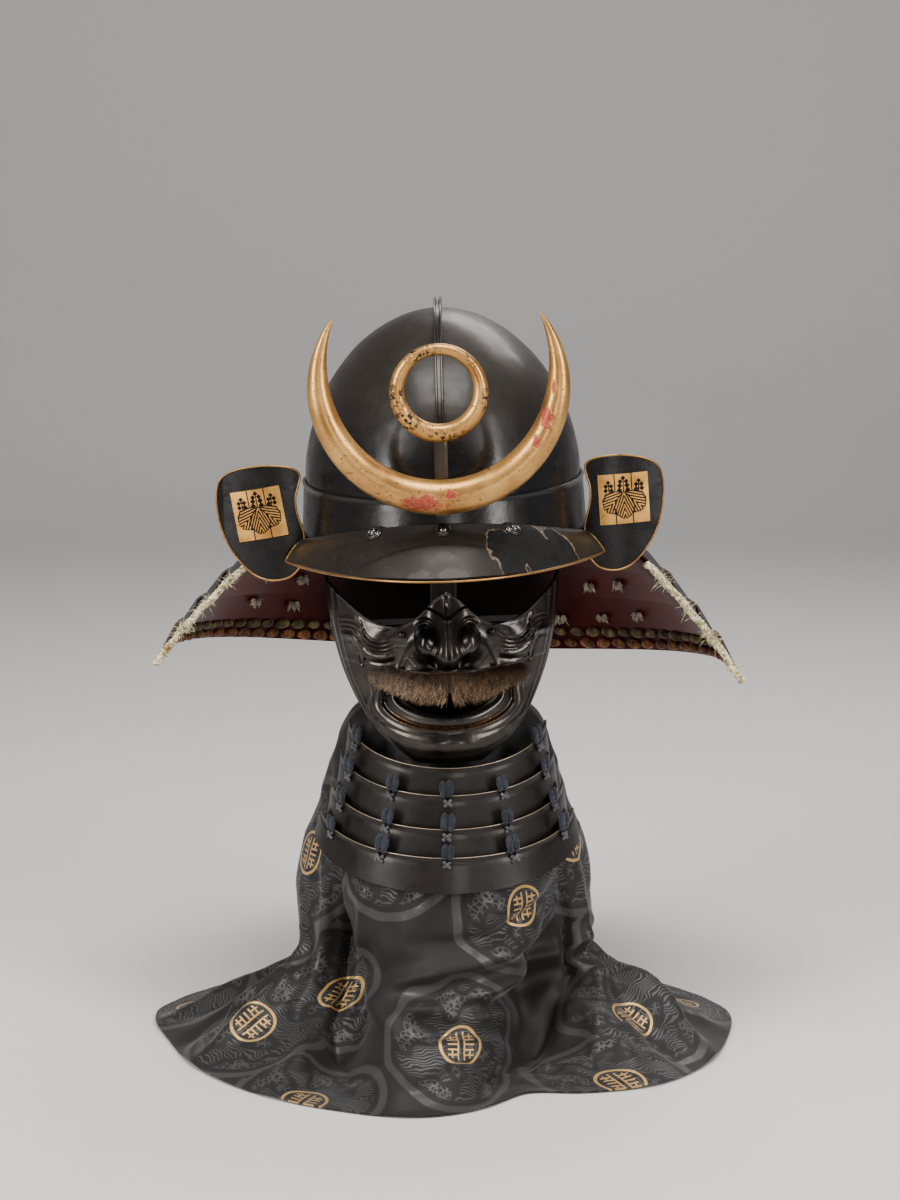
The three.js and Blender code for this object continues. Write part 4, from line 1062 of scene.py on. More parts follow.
# fine relief over the plain form of the mask, in metres toward the front
def faceRelief(x, z, level):
    across, relief = abs(x), 0.0
    # the centre line of the nose and the folded edge of its bridge
    down = clamp((z - 0.303) / 0.008) * clamp((0.352 - z) / 0.006)
    relief -= maskShape["crease"] * hump(x, 0.0009) * down
    if across < 0.019:
        fold = z - (0.337 + 0.42 * across)
        relief += maskShape["bead"] * hump(fold - 0.0008, 0.0009) - (0.0016 if fold > 0 else 0) * min(1, fold / 0.002)
    # wings of the nose: a round ball with an arched bead over it
    w = wingShape
    ballX, ballZ = across - w["x"], z - w["z"]
    ball = math.hypot(ballX / w["ball"][0], ballZ / w["ball"][1])
    if ball < 1:
        inside, width = 1 - ball ** 2, sample(noseRows, 0, 2, z)
        relief += sample(noseRows, 0, 1, z) * (hump(w["x"], width) - hump(across, width)) * inside ** 0.5
        relief += 0.011 * (1 - hump(across - 0.016, 0.008) * hump(z - 0.316, 0.008)) * inside ** 0.5
        relief += w["proud"] * inside ** 0.7
    around = math.degrees(math.atan2(ballZ, -ballX))
    if w["archFrom"] < around < w["archTo"]:
        reach = min(1, (around - w["archFrom"]) / 25, (w["archTo"] - around) / 20)
        ring = (math.hypot(ballX / w["arch"][0], ballZ / w["arch"][1]) - 1) * 0.012
        relief += (1.7 * hump(ring, 0.0011) - 1.2 * hump(ring + 0.002, 0.0009)) * maskShape["bead"] * reach
    # nostrils
    turnedX, turnedZ = across - 0.0105, z - 0.3065
    slantX, slantZ = turnedX * 0.8 - turnedZ * 0.6, turnedX * 0.6 + turnedZ * 0.8
    relief -= maskShape["nostril"] * hump(slantX, 0.0032) * hump(slantZ, 0.0058) * 1.1
    # folds of the cheeks: fine ridges along an S, a broad one under them and the lower edge
    if 0.036 < across < 0.078 and 0.296 < z < 0.345:
        line, steep = cheekLine[int((across - 0.036) * 5000)]
        off, reach = (z - line) / math.hypot(1, steep), min(1, (across - 0.036) / 0.008, (0.078 - across) / 0.01)
        for place in (0.0062, 0.0028, -0.0004):
            fine = hump(off - place, 0.0011) - 0.6 * hump(off - place + 0.0017, 0.0008)
            relief += maskShape["wrinkle"] * fine * reach
        relief += (0.0028 * hump(off + 0.0056, 0.0028) - 0.0013 * hump(off + 0.0100, 0.0013)) * reach
    eyeX, eyeZ = across - 0.046, z - 0.346
    away, bearing = math.hypot(eyeX, eyeZ), math.degrees(math.atan2(-eyeZ, eyeX))
    if 60 < bearing < 150:
        relief += 0.0009 * hump(away - 0.0175, 0.002) * min(1, (bearing - 60) / 30, (150 - bearing) / 30)
    # folds from the nose past the moustache
    foldX = across - (0.026 + 0.45 * (0.318 - z))
    if 0.298 < z < 0.322:
        relief += 0.0016 * hump(foldX, 0.0022) * min(1, (z - 0.298) / 0.004, (0.322 - z) / 0.006)
    # step under the cheeks, where the moustache is fixed
    edge = 0.297 + 0.006 * min(1, across / 0.06) ** 2
    if z < edge and across > 0.004:
        relief -= maskShape["step"] * min(1, (edge - z) / 0.0014) * min(1, max(0, z - 0.262) / 0.02) * level
    # lips and the folds round the mouth
    off = mouthDistance(x, z)
    under = clamp((0.294 - z) / 0.008)
    relief += maskShape["lip"] * hump(off - 0.0016, 0.0026) * under
    relief -= 0.0016 * hump(off - 0.0076, 0.0011) * under
    relief += 0.0012 * hump(off - 0.0096, 0.001) * under
    if across > 0.018:
        beside = min(1, (across - 0.018) / 0.012) * clamp((0.298 - z) / 0.01)
        for place in (0.0136, 0.0176):
            relief += 0.0009 * hump(off - place, 0.0012) * beside
    return relief


def maskPoint(u, v, detail=1.0):
    even = 2 * u - 1
    turn = math.pi / 2 * ((1 - maskShape["crowd"]) * even + maskShape["crowd"] * even ** 3)
    eyeZ = sample(eyeRows, 0, 1, 0.087 * abs(math.sin(turn)))
    z = blendTo(eyeZ, maskRows[0][0], v)
    half, front, back = (sample(maskRows, 0, column, z) for column in (1, 2, 3))
    x, level = half * math.sin(turn), max(0, math.cos(turn)) ** maskShape["round"]
    depth = blendTo(back, front, level) + sample(noseRows, 0, 1, z) * hump(x, sample(noseRows, 0, 2, z))
    for formX, formZ, halfX, halfZ, proud in faceForms:
        place = x if formX == 0 else abs(x) - formX
        depth += proud * hump(place, halfX) * hump(z - formZ, halfZ) * min(1, level * 2)
    if detail:
        depth += faceRelief(x, z, min(1, level * 1.6)) * min(1, level * 2.4) * detail
        bead = hump(abs(turn) - 1.25, 0.02) + hump(abs(turn) - 1.4, 0.02) - 0.8 * hump(abs(turn) - 1.14, 0.03)
        x += math.copysign(maskShape["flange"] * bead, x)
        rim = hump(v, 0.012)
        depth += 0.0008 * rim * min(1, level * 2)
    return Vector((x, -depth, z))


# depth of the plain mask at a place across and up
def faceDepth(x, z):
    turn = math.asin(min(1, max(-1, x / sample(maskRows, 0, 1, z))))
    eyeZ = sample(eyeRows, 0, 1, 0.087 * abs(math.sin(turn)))
    low, high = 0.0, 1.0
    for _ in range(20):
        middle = (low + high) / 2
        even = 2 * middle - 1
        reached = math.pi / 2 * ((1 - maskShape["crowd"]) * even + maskShape["crowd"] * even ** 3)
        low, high = (middle, high) if reached < turn else (low, middle)
    return -maskPoint(low, (eyeZ - z) / (eyeZ - maskRows[0][0]), 0).y


# a block seen from the front: its outline across and up, between two depths
def frontBlock(outline):
    near, far = maskShape["cutNear"], maskShape["cutFar"]
    clearSelection()
    bpy.ops.mesh.primitive_circle_add(vertices=len(outline), radius=1, fill_type="NGON")
    obj = bpy.context.object
    for vertex, (x, z) in zip(obj.data.vertices, outline):
        vertex.co = (x, -far, z)
    editWhole()
    bpy.ops.mesh.extrude_region_move(TRANSFORM_OT_translate={"value": (0, far - near, 0)})
    bpy.ops.mesh.select_all(action="SELECT")
    bpy.ops.mesh.normals_make_consistent(inside=False)
    bpy.ops.object.mode_set(mode="OBJECT")
    return obj


def cutWith(obj, tool, operation):
    applyModifier(obj, "BOOLEAN", object=tool, operation=operation, solver="MANIFOLD")


def noseOutline(inset):
    half, foot = 0.0375 - inset, 0.023 - inset
    return [(-half, 0.38), (-half, 0.317), (-foot, 0.301 + inset), (foot, 0.301 + inset), (half, 0.317), (half, 0.38)]


def mouthOutline():
    m = mouthShape
    points = []
    for half, middleZ in ((m["half"], m["lowerZ"]), (-m["half"], m["upperZ"])):
        for k in range(40):
            s = k / 40
            points.append((blendTo(-half, half, s), m["cornerZ"] + 2 * s * (1 - s) * (middleZ - m["cornerZ"])))
    return points


# iron of the mask: russet black and polished, with brown-gold lips and painted shade in the nostrils
def maskIron():
    place = newMaterial("mask iron", Metallic=0.88, Coat_Weight=0.25, Coat_Roughness=0.12)
    clouds = noiseOf(place, 30, 5, 0.6)
    speck = noiseOf(place, 420, 4, 0.65)
    scratch = noiseOf(stretched(place, (60, 60, 700)), 1.0, 3, 0.5)
    base = mixColor(between(clouds, 0.35, 0.7), (0.035, 0.032, 0.03), (0.088, 0.074, 0.063))
    base = mixColor(between(speck, 0.6, 0.72), base, (0.02, 0.013, 0.01))
    base = mixColor(times(between(scratch, 0.64, 0.75), 0.5), base, (0.22, 0.2, 0.18))
    lip = patchMask(place, (0.002, -0.103, 0.2655), (0.040, 0.03, 0.0088), 0.1, 200.0, 0.1)
    lip = minus(lip, patchMask(place, (0.002, -0.103, 0.2688), (0.0375, 0.03, 0.0092), 0.1, 200.0, 0.1))
    lip = larger(lip, 0.0)
    gilt = mixColor(between(speck, 0.4, 0.62), (0.05, 0.025, 0.012), (0.17, 0.09, 0.035))
    base = mixColor(times(lip, 0.85), base, gilt)
    # painted shade: the nostrils are coloured almost black
    for hand in (-1, 1):
        centre = (hand * 0.0105 - 0.002 + 0.0052, -0.113, 0.3055)
        nostrilShade = patchMask(place, centre, (0.0038, 0.012, 0.0046), 0.05, 200.0, 0.3)
        base = mixColor(nostrilShade, base, (0.002, 0.002, 0.002))
    rough = plus(between(clouds, 0.3, 0.7, 0.2, 0.34), times(speck, 0.08))
    level = plus(clouds, times(speck, 0.25))
    return finished(Base_Color=base, Roughness=rough, Normal=bumpOf(level, 0.0006, 0.6))


def makeMask():
    shell = layGrid(maskShape["across"], maskShape["down"], maskPoint)
    thicken(shell, maskShape["wall"], awayFromAxis)
    nose = shell.copy()
    nose.data = shell.data.copy()
    bpy.context.scene.collection.objects.link(nose)
    notch, plug, slit = frontBlock(noseOutline(0)), frontBlock(noseOutline(0.00035)), frontBlock(mouthOutline())
    cutWith(shell, notch, "DIFFERENCE")
    cutWith(shell, slit, "DIFFERENCE")
    cutWith(nose, plug, "INTERSECT")
    for tool in (notch, plug, slit):
        bpy.data.objects.remove(tool)
    iron = maskIron()
    finishPiece(shell, "maskShell", iron, maskStance, ["mask_shell"], 40)
    finishPiece(nose, "maskNose", iron, maskStance, ["mask_nose"], 40)


makeMask()
print("mask made")

# pins that hold the nose piece
pinShape = {"radius": 0.0026, "length": 0.0042, "x": 0.033, "z": 0.3255, "turn": 20}
pinIron = darkIron("pin iron", (0.02, 0.018, 0.016), (0.06, 0.05, 0.04), 0.2, 0.35, 0.9)
for hand in (-1, 1):
    clearSelection()
    bpy.ops.mesh.primitive_uv_sphere_add(segments=24, ring_count=12, radius=pinShape["radius"])
    head = bpy.context.object
    head.scale.z = 0.75
    bpy.ops.mesh.primitive_cylinder_add(vertices=24, radius=pinShape["radius"] * 0.55, depth=pinShape["length"],
                                        location=(0, 0, -pinShape["length"] / 2))
    pin = joinPieces([head, bpy.context.object])
    bpy.ops.object.transform_apply(location=True, scale=True)
    place = Vector((hand * pinShape["x"], -faceDepth(pinShape["x"], pinShape["z"]) - 0.0022, pinShape["z"]))
    out = Vector((math.sin(math.radians(hand * pinShape["turn"])), -math.cos(math.radians(pinShape["turn"])), 0))
    pin.data.transform(placeAt(place, out, Vector((0, 0, 1))))
    word = "Left" if hand < 0 else "Right"
    finishPiece(pin, "maskPin" + word, pinIron, maskStance, ["mask_pin_" + word.lower()], 60)

# moustache: hair in two halves, parted in the middle, over a thin backing
hairShape = {"half": 0.053, "topZ": 0.2985, "topEndZ": 0.3015, "footZ": 0.2845, "footEndZ": 0.2925, "count": 5200,
             "length": 0.0115, "radius": 0.00024, "clear": 0.0022, "seed": 3}


def hairFinish():
    place = newMaterial("hair", Roughness=0.55)
    lock = noiseOf(stretched(place, (400, 400, 130)), 1.0, 3, 0.5)
    streak = noiseOf(place, 1400, 2, 0.6)
    base = mixColor(between(lock, 0.35, 0.68), (0.05, 0.027, 0.015), (0.34, 0.215, 0.125))
    base = mixColor(between(streak, 0.54, 0.68), base, (0.58, 0.48, 0.35))
    low = between(heightOf(place), 0.284, 0.299)
    base = mixColor(low, base, (0.035, 0.018, 0.01))
    return finished(Base_Color=base)


def makeMoustache():
    h = hairShape
    dice = random.Random(h["seed"])

    def backing(u, v):
        out = 2 * u - 1
        x = out * h["half"]
        top, foot = blendTo(h["topZ"], h["topEndZ"], out ** 2), blendTo(h["footZ"], h["footEndZ"], out ** 2)
        z = blendTo(top, foot, v)
        swell = 0.0024 * math.sin(math.pi * min(1, v * 0.9 + 0.1)) * (1 - 0.6 * out ** 4)
        return Vector((x, -(max(faceDepth(x, z), faceDepth(x, z + 0.003)) + h["clear"] + swell), z))

    pad = layGrid(80, 14, backing)
    thicken(pad, 0.0012, toFront)
    depths = {}
    for k in range(-140, 141):
        for j in range(0, 16):
            x, z = k * 0.0005, 0.27 + j * 0.0025
            depths[k, j] = max(faceDepth(x, z), faceDepth(x, z + 0.002))

    def skin(x, z):
        return depths[max(-140, min(140, round(x / 0.0005))), max(0, min(15, round((z - 0.27) / 0.0025)))]

    strands = []
    for _ in range(h["count"]):
        out, fall = dice.uniform(-1, 1), dice.random() ** 0.8
        x = out * h["half"]
        top, foot = blendTo(h["topZ"], h["topEndZ"], out ** 2), blendTo(h["footZ"], h["footEndZ"], out ** 2)
        z = blendTo(top, foot, fall)
        clump = noise.noise(Vector((x * 150, z * 60, 0)))
        spread = 0.42 + 1.0 * abs(out) ** 0.7 + 0.3 * clump + dice.uniform(-0.28, 0.28)
        aim = Vector((math.copysign(math.sin(spread), out), 0, -math.cos(spread)))
        length = h["length"] * dice.uniform(0.55, 1.0) * (1 - 0.45 * abs(out) ** 3)
        points, radii = [], []
        lift = dice.uniform(0.0002, 0.0032)
        for k, s in enumerate((0, 0.3, 0.6, 0.85, 1)):
            place = Vector((x, 0, z)) + aim * length * s + Vector((0, 0, -0.0022 * s * s))
            rise = h["clear"] + 0.001 + lift * (0.5 + 0.9 * s) + 0.0022 * math.sin(math.pi * min(1, s * 0.8))
            points.append(Vector((place.x, -(skin(place.x, max(0.271, place.z)) + rise), place.z)))
            radii.append(h["radius"] * (1.0, 0.95, 0.8, 0.55, 0.2)[k])
        strands.append((points, radii))
    hair = laceStrands("hair", strands, 3)
    whole = joinPieces([pad, hair])
    finishPiece(whole, "moustache", hairFinish(), maskStance, ["moustache"], 60)


makeMoustache()
print("moustache made")

# throat guard: rows of upper and lower edge at the middle and the ends, half width, front depth and spread
throatRows = [(.2265, .250, .200, .217, .074, .101, .003), (.208, .226, .177, .194, .080, .109, .0035),
              (.185, .203, .158, .173, .087, .1175, .004), (.166, .182, .141, .164, .095, .126, .005)]
throatShape = {"wall": 0.0017, "endDepth": 0.038, "edge": 0.0006, "across": 120, "down": 20, "roll": 0.0004,
               "corner": 0.0065}
laceColumns = (-63, -30, 0, 30, 63)
laceShape = {"width": 0.0052, "length": 0.0125, "rise": 0.0038, "cross": 0.0052, "crossCord": 0.0012, "gap": 0.0046}


def throatPoint(row, u, v, lift=0.0):
    topZ, endZ, footZ, footEndZ, half, front, spread = row
    turn = (2 * u - 1) * math.pi / 2
    level = math.cos(turn)
    roll = throatShape["roll"] * (hump(v, 0.05) - hump(v - 0.12, 0.06))
    half, front = half + v * spread + lift + roll, front + v * spread + lift + roll
    z = blendTo(blendTo(endZ, topZ, level), blendTo(footEndZ, footZ, level), v)
    # round corners at both ends
    radius = throatShape["corner"]
    inset = max(0.0, radius - 0.27 * min(u, 1 - u))
    z += (radius - math.sqrt(radius ** 2 - min(inset, radius) ** 2)) * blendTo(-1, 0.7, v)
    return Vector((half * math.sin(turn), -blendTo(throatShape["endDepth"], front, level), z))


# closer columns near both ends
def crowded(u):
    return blendTo(u, (1 - math.cos(math.pi * u)) / 2, 0.7)


throatFinish = blackLacquer("throat lacquer", -2.0, -1.0, (0.013, 0.0095, 0.0078), wear=0.3)
throatEdge = darkIron("throat edge", (0.25, 0.2, 0.15), (0.42, 0.34, 0.25), 0.3, 0.5, 0.6)
for k, row in enumerate(throatRows):
    lame = layGrid(throatShape["across"], throatShape["down"], lambda u, v: throatPoint(row, crowded(u), v))
    thicken(lame, throatShape["wall"], awayFromAxis)
    finishPiece(lame, f"throatLame{k + 1}", throatFinish, throatStance, [f"throat_lame_{k + 1}"])
    edge = [throatPoint(row, 0, 1 - i / 10, -throatShape["wall"] / 2) for i in range(10)]
    edge += [throatPoint(row, crowded(i / 120), 0, -throatShape["wall"] / 2) for i in range(121)]
    edge += [throatPoint(row, 1, (i + 1) / 10, -throatShape["wall"] / 2) for i in range(10)]
    rim = layRod(edge, throatShape["edge"], 8)
    finishPiece(rim, f"throatRim{k + 1}", throatEdge, throatStance, (), 60)


# one lacing: two plaited loops side by side over an edge. A small cross goes under each
def makeLoops():
    c = laceShape
    parts = []
    for hand in (-1, 1):
        clearSelection()
        bpy.ops.mesh.primitive_uv_sphere_add(segments=24, ring_count=24, radius=1)
        loop = bpy.context.object
        for vertex in loop.data.vertices:
            x, y, z = vertex.co
            plait = 1 + 0.1 * math.sin(y * 13 + 3 * x * hand) + 0.12 * noise.noise(Vector((x * 2, y * 2, z * 2 + hand)))
            vertex.co = (hand * c["gap"] / 2 + x * c["width"] / 2 * plait,
                         c["length"] * 0.5 * (1 + math.copysign(abs(y) ** 0.7, y)),
                         z * c["rise"] / 2 * plait + c["rise"] * 0.4)
        parts.append(loop)
    return joinPieces(parts)


def makeCross():
    reach = laceShape["cross"] / 2
    arms = [layRod([Vector((-hand * reach, -reach * 0.8, 0.001)), Vector((0, -reach * 1.7, 0.0019 + 0.0005 * hand)),
                    Vector((hand * reach, -reach * 2.6, 0.001))], laceShape["crossCord"], 8) for hand in (-1, 1)]
    return joinPieces(arms)


def lacePlaces():
    places, dice = [], random.Random(5)
    for k, row in enumerate(throatRows):
        for bearing in laceColumns:
            if k == 0 and abs(bearing) < 50:
                continue
            u = (1 + bearing / 90) / 2
            here, side = throatPoint(row, u, 0.0), throatPoint(row, u + 0.01, 0) - throatPoint(row, u - 0.01, 0)
            out = Vector((here.x, here.y * 0.8, 0.0))
            turn = Matrix.Rotation(dice.uniform(-0.12, 0.12), 4, "Z") @ Matrix.Scale(dice.uniform(0.88, 1.1), 4)
            places.append(placeAt(here + out.normalized() * 0.0006, out, side) @ turn)
    return places


loops = scatterCopies(makeLoops(), lacePlaces())
finishPiece(loops, "throatLoops", fibre("loop silk", (0.006, 0.007, 0.012), (0.027, 0.033, 0.054), 420, 0.8),
            throatStance, (), 50)
crosses = scatterCopies(makeCross(), lacePlaces())
finishPiece(crosses, "throatCrosses", fibre("cross silk", (0.03, 0.03, 0.034), (0.14, 0.14, 0.15), 420, 0.8),
            throatStance, (), 50)
print("throat guard made")

# cloth cover: rows down the cloth of height, reach to the side, front and back, strength of the folds and their lift
coverRows = [(0, .262, .017, .017, .017, 0, 0), (.08, .258, .052, .044, .048, .001, 0),
             (.16, .244, .071, .060, .068, .002, 0), (.28, .212, .083, .071, .080, .003, 0),
             (.38, .176, .092, .088, .090, .005, 0), (.48, .136, .106, .112, .098, .006, 0),
             (.58, .098, .103, .117, .102, .012, 0), (.66, .068, .097, .115, .104, .018, .001),
             (.74, .042, .112, .126, .114, .020, .008), (.82, .024, .144, .148, .134, .015, .014),
             (.91, .010, .184, .178, .160, .008, .008), (1, .0022, .221, .206, .186, .005, .0004)]
# main folds: bearing from the front at the waist and at the hem, spread in degrees, hollow below zero
mainFolds = [(-54, -20, 13, -1.3), (60, 16, 14, -1.35), (4, -4, 24, .7), (-80, -62, 20, .9), (86, 58, 18, .9),
             (-112, -104, 11, -.7), (118, 100, 11, -.8), (146, 136, 15, .8), (-148, -140, 15, .8), (178, 176, 14, -.8)]
# lesser folds, each along places (bearing, v): width and height in metres
lesserFolds = [([(94, .60), (60, .66), (30, .66), (4, .69), (-14, .74)], .006, .0055),
               ([(80, .66), (50, .70), (20, .71), (0, .75)], .006, -.005),
               ([(66, .53), (30, .60), (0, .62), (-16, .66), (-30, .74)], .007, .005),
               ([(54, .50), (20, .565), (-10, .575)], .006, -.0045),
               ([(-54, .40), (-50, .55), (-52, .66), (-44, .78), (-24, .88)], .0035, -.006),
               ([(-60, .42), (-58, .55), (-60, .66), (-54, .78), (-34, .92)], .006, .006),
               ([(62, .48), (66, .60), (62, .70), (42, .78), (14, .90)], .0035, -.006),
               ([(72, .46), (74, .60), (70, .72), (52, .82), (30, .95)], .006, .005),
               ([(-30, .46), (-34, .60), (-26, .72), (-10, .78)], .006, .0045),
               ([(-20, .70), (4, .735), (30, .72)], .007, .005),
               ([(-16, .80), (-4, .775), (16, .775), (30, .80)], .006, -.003),
               ([(-72, .62), (-68, .76), (-72, .90)], .006, .006),
               ([(-86, .60), (-84, .76), (-82, .92)], .005, -.006), ([(84, .62), (76, .78), (70, .92)], .006, .006),
               ([(96, .60), (90, .78), (88, .93)], .005, -.005), ([(50, .90), (56, .83), (64, .80)], .006, .004),
               ([(24, .93), (34, .86), (44, .84)], .006, .004), ([(-48, .93), (-46, .86), (-56, .82)], .006, .004),
               ([(-6, .93), (4, .88), (14, .87)], .008, .003),
               ([(110, .40), (118, .60), (110, .80), (104, .95)], .006, .006),
               ([(-108, .40), (-118, .6), (-110, .8), (-104, .95)], .006, .006),
               ([(130, .38), (134, .60), (128, .80)], .006, -.006),
               ([(-128, .38), (-134, .60), (-128, .80)], .006, -.006),
               ([(160, .36), (158, .58), (150, .80), (148, .95)], .006, .006),
               ([(-160, .36), (-158, .58), (-154, .8), (-150, .95)], .006, .006),
               ([(-172, .45), (-170, .65), (-168, .9)], .006, -.005),
               ([(170, .45), (168, .65), (166, .9)], .006, -.005),
               ([(-66, .70), (-62, .82), (-60, .97)], .009, .008),
               ([(-46, .78), (-40, .88), (-36, .99)], .010, .006),
               ([(-78, .74), (-74, .86), (-70, .98)], .008, -.006),
               ([(-14, .84), (-10, .92), (-8, .99)], .012, .004), ([(8, .84), (14, .92), (18, .99)], .010, -.004),
               ([(54, .74), (50, .86), (46, .97)], .009, .008), ([(78, .74), (72, .86), (66, .98)], .009, .007),
               ([(66, .76), (60, .88), (56, .98)], .008, -.006), ([(88, .70), (84, .84), (80, .97)], .008, .006),
               ([(-92, .70), (-90, .84), (-86, .97)], .008, .007)]
coverShape = {"across": 360, "down": 180, "wall": 0.0011, "floorGap": 0.0003, "slack": 0.0022, "foldGain": 1.35}


# how far the hem leaves a plain oval: bearing and change in metres
hemRows = [(-180, 0), (-162, -.004), (-142, -.022), (-118, -.028), (-100, -.004), (-91, .004), (-74, -.007),
           (-56, -.006), (-38, -.001), (-22, .005), (-8, .003), (8, -.010), (21, -.030), (33, -.018), (46, -.004),
           (60, 0), (78, .001), (91, .004), (100, -.004), (118, -.028), (142, -.022), (162, -.004), (180, 0)]


def coverPoint(u, v):
    bearing = (u - 0.5) * 2 * math.pi
    side, back = sample(coverRows, 0, 2, v), sample(coverRows, 0, 3 if math.cos(bearing) > 0 else 4, v)
    reach = 1 / math.hypot(math.sin(bearing) / side, math.cos(bearing) / back)
    along, relief = clamp((v - 0.5) / 0.5), 0.0
    for waist, hem, spread, depth in mainFolds:
        off = (math.degrees(bearing) - blendTo(waist, hem, along) + 540) % 360 - 180
        relief += depth * hump(off, spread)
    away = reach + relief * sample(coverRows, 0, 5, v)
    spread = clamp((v - 0.66) / 0.34)
    away += sample(hemRows, 0, 1, math.degrees(bearing)) * spread ** 2 * (3 - 2 * spread)
    z = sample(coverRows, 0, 1, v) + relief * sample(coverRows, 0, 6, v)
    return Vector((away * math.sin(bearing), -away * math.cos(bearing), max(z, coverRows[-1][1])))


# where the cloth's own width and length run, so that its pattern isn't stretched
coverLength = [0.0]
for k in range(1, 201):
    coverLength.append(coverLength[-1] + (coverPoint(0.5, k / 200) - coverPoint(0.5, (k - 1) / 200)).length)
roundOf = {}
for k in range(0, 201):
    ring = [coverPoint(i / 72, k / 200) for i in range(72)]
    roundOf[k] = sum((ring[i] - ring[i - 1]).length for i in range(72))


def flatPlace(v):
    k = min(199, int(v * 200))
    s = v * 200 - k
    return blendTo(coverLength[k], coverLength[k + 1], s), blendTo(roundOf[k], roundOf[k + 1], s)


foldLines = [([(turn / 360, flatPlace(v)[0]) for turn, v in places], width, height)
             for places, width, height in lesserFolds]


def foldRelief(u, length, around):
    total = 0.0
    px = (u - 0.5) * around
    for places, width, height in foldLines:
        if not places[0][1] - 3 * width < length < places[-1][1] + 3 * width:
            continue
        nearest, where = 1.0, 0.0
        for k in range(len(places) - 1):
            ax, ay = places[k][0] * around, places[k][1]
            bx, by = places[k + 1][0] * around, places[k + 1][1]
            dx, dy = bx - ax, by - ay
            s = clamp(((px - ax) * dx + (length - ay) * dy) / (dx * dx + dy * dy))
            away = math.hypot(px - ax - s * dx, length - ay - s * dy)
            if away < nearest:
                nearest, where = away, (k + s) / (len(places) - 1)
        if nearest < 3 * width:
            total += height * hump(nearest, width) * math.sin(math.pi * clamp(0.08 + 0.84 * where))
    return total


# middles of the woven rounds, as places (u, v)
roundPlaces = [(.3675, .72), (.59, .52), (.515, .81), (.34, .86), (.6125, .975), (.67, .84), (.42, .99), (.44, .40),
               (.745, .70), (.77, .92), (.24, .93), (.255, .66), (.16, .80), (.83, .80), (.10, .95), (.90, .95),
               (.03, .82), (.97, .80), (.30, .46), (.16, .52), (.84, .52), (.70, .44), (.02, .55)]


# lays the woven pattern along the cloth's own rows and columns, so that no fold stretches it
def layPattern(obj, across):
    columns, rows = coverShape["across"] + 1, coverShape["down"] + 1
    at = {}
    for i, (u, v) in enumerate(across):
        at[round(u * (columns - 1)), round(v * (rows - 1))] = i
    points = [vertex.co for vertex in obj.data.vertices]
    alongRow, alongColumn = {}, {}
    for j in range(rows):
        total = 0.0
        for i in range(columns):
            if i:
                total += (points[at[i, j]] - points[at[i - 1, j]]).length
            alongRow[i, j] = total
    for i in range(columns):
        total = 0.0
        for j in range(rows):
            if j:
                total += (points[at[i, j]] - points[at[i, j - 1]]).length
            alongColumn[i, j] = total
    middles = [(round(u * (columns - 1)), round(v * (rows - 1))) for u, v in roundPlaces]
    layer = obj.data.attributes.new("woven", "FLOAT_VECTOR", "CORNER")
    values = [0.0] * (3 * len(obj.data.loops))

    def offset(i, j, k):
        mi, mj = middles[k]
        around = alongRow[columns - 1, j]
        across = (alongRow[i, j] - alongRow[mi, j] + around / 2) % around - around / 2
        return across, alongColumn[i, j] - alongColumn[i, mj]

    place = {index: key for key, index in at.items()}
    for face in obj.data.polygons:
        spots = [place[i] for i in face.vertices]
        low = min(spots)
        best = min(range(len(middles)), key=lambda k: math.hypot(*offset(*low, k)))
        for corner, spot in zip(face.loop_indices, spots):
            x, y = offset(*spot, best)
            values[3 * corner:3 * corner + 3] = [x, y, 0.0]
    layer.data.foreach_set("vector", values)


damaskShape = {"ring": (0.054, 0.0605), "figures": 0.049, "scales": 260.0, "ripples": 400.0, "weave": 2200.0,
               "round": (0.0150, 0.0172), "motif": 0.0134, "threads": 1100.0, "soft": 0.0002}


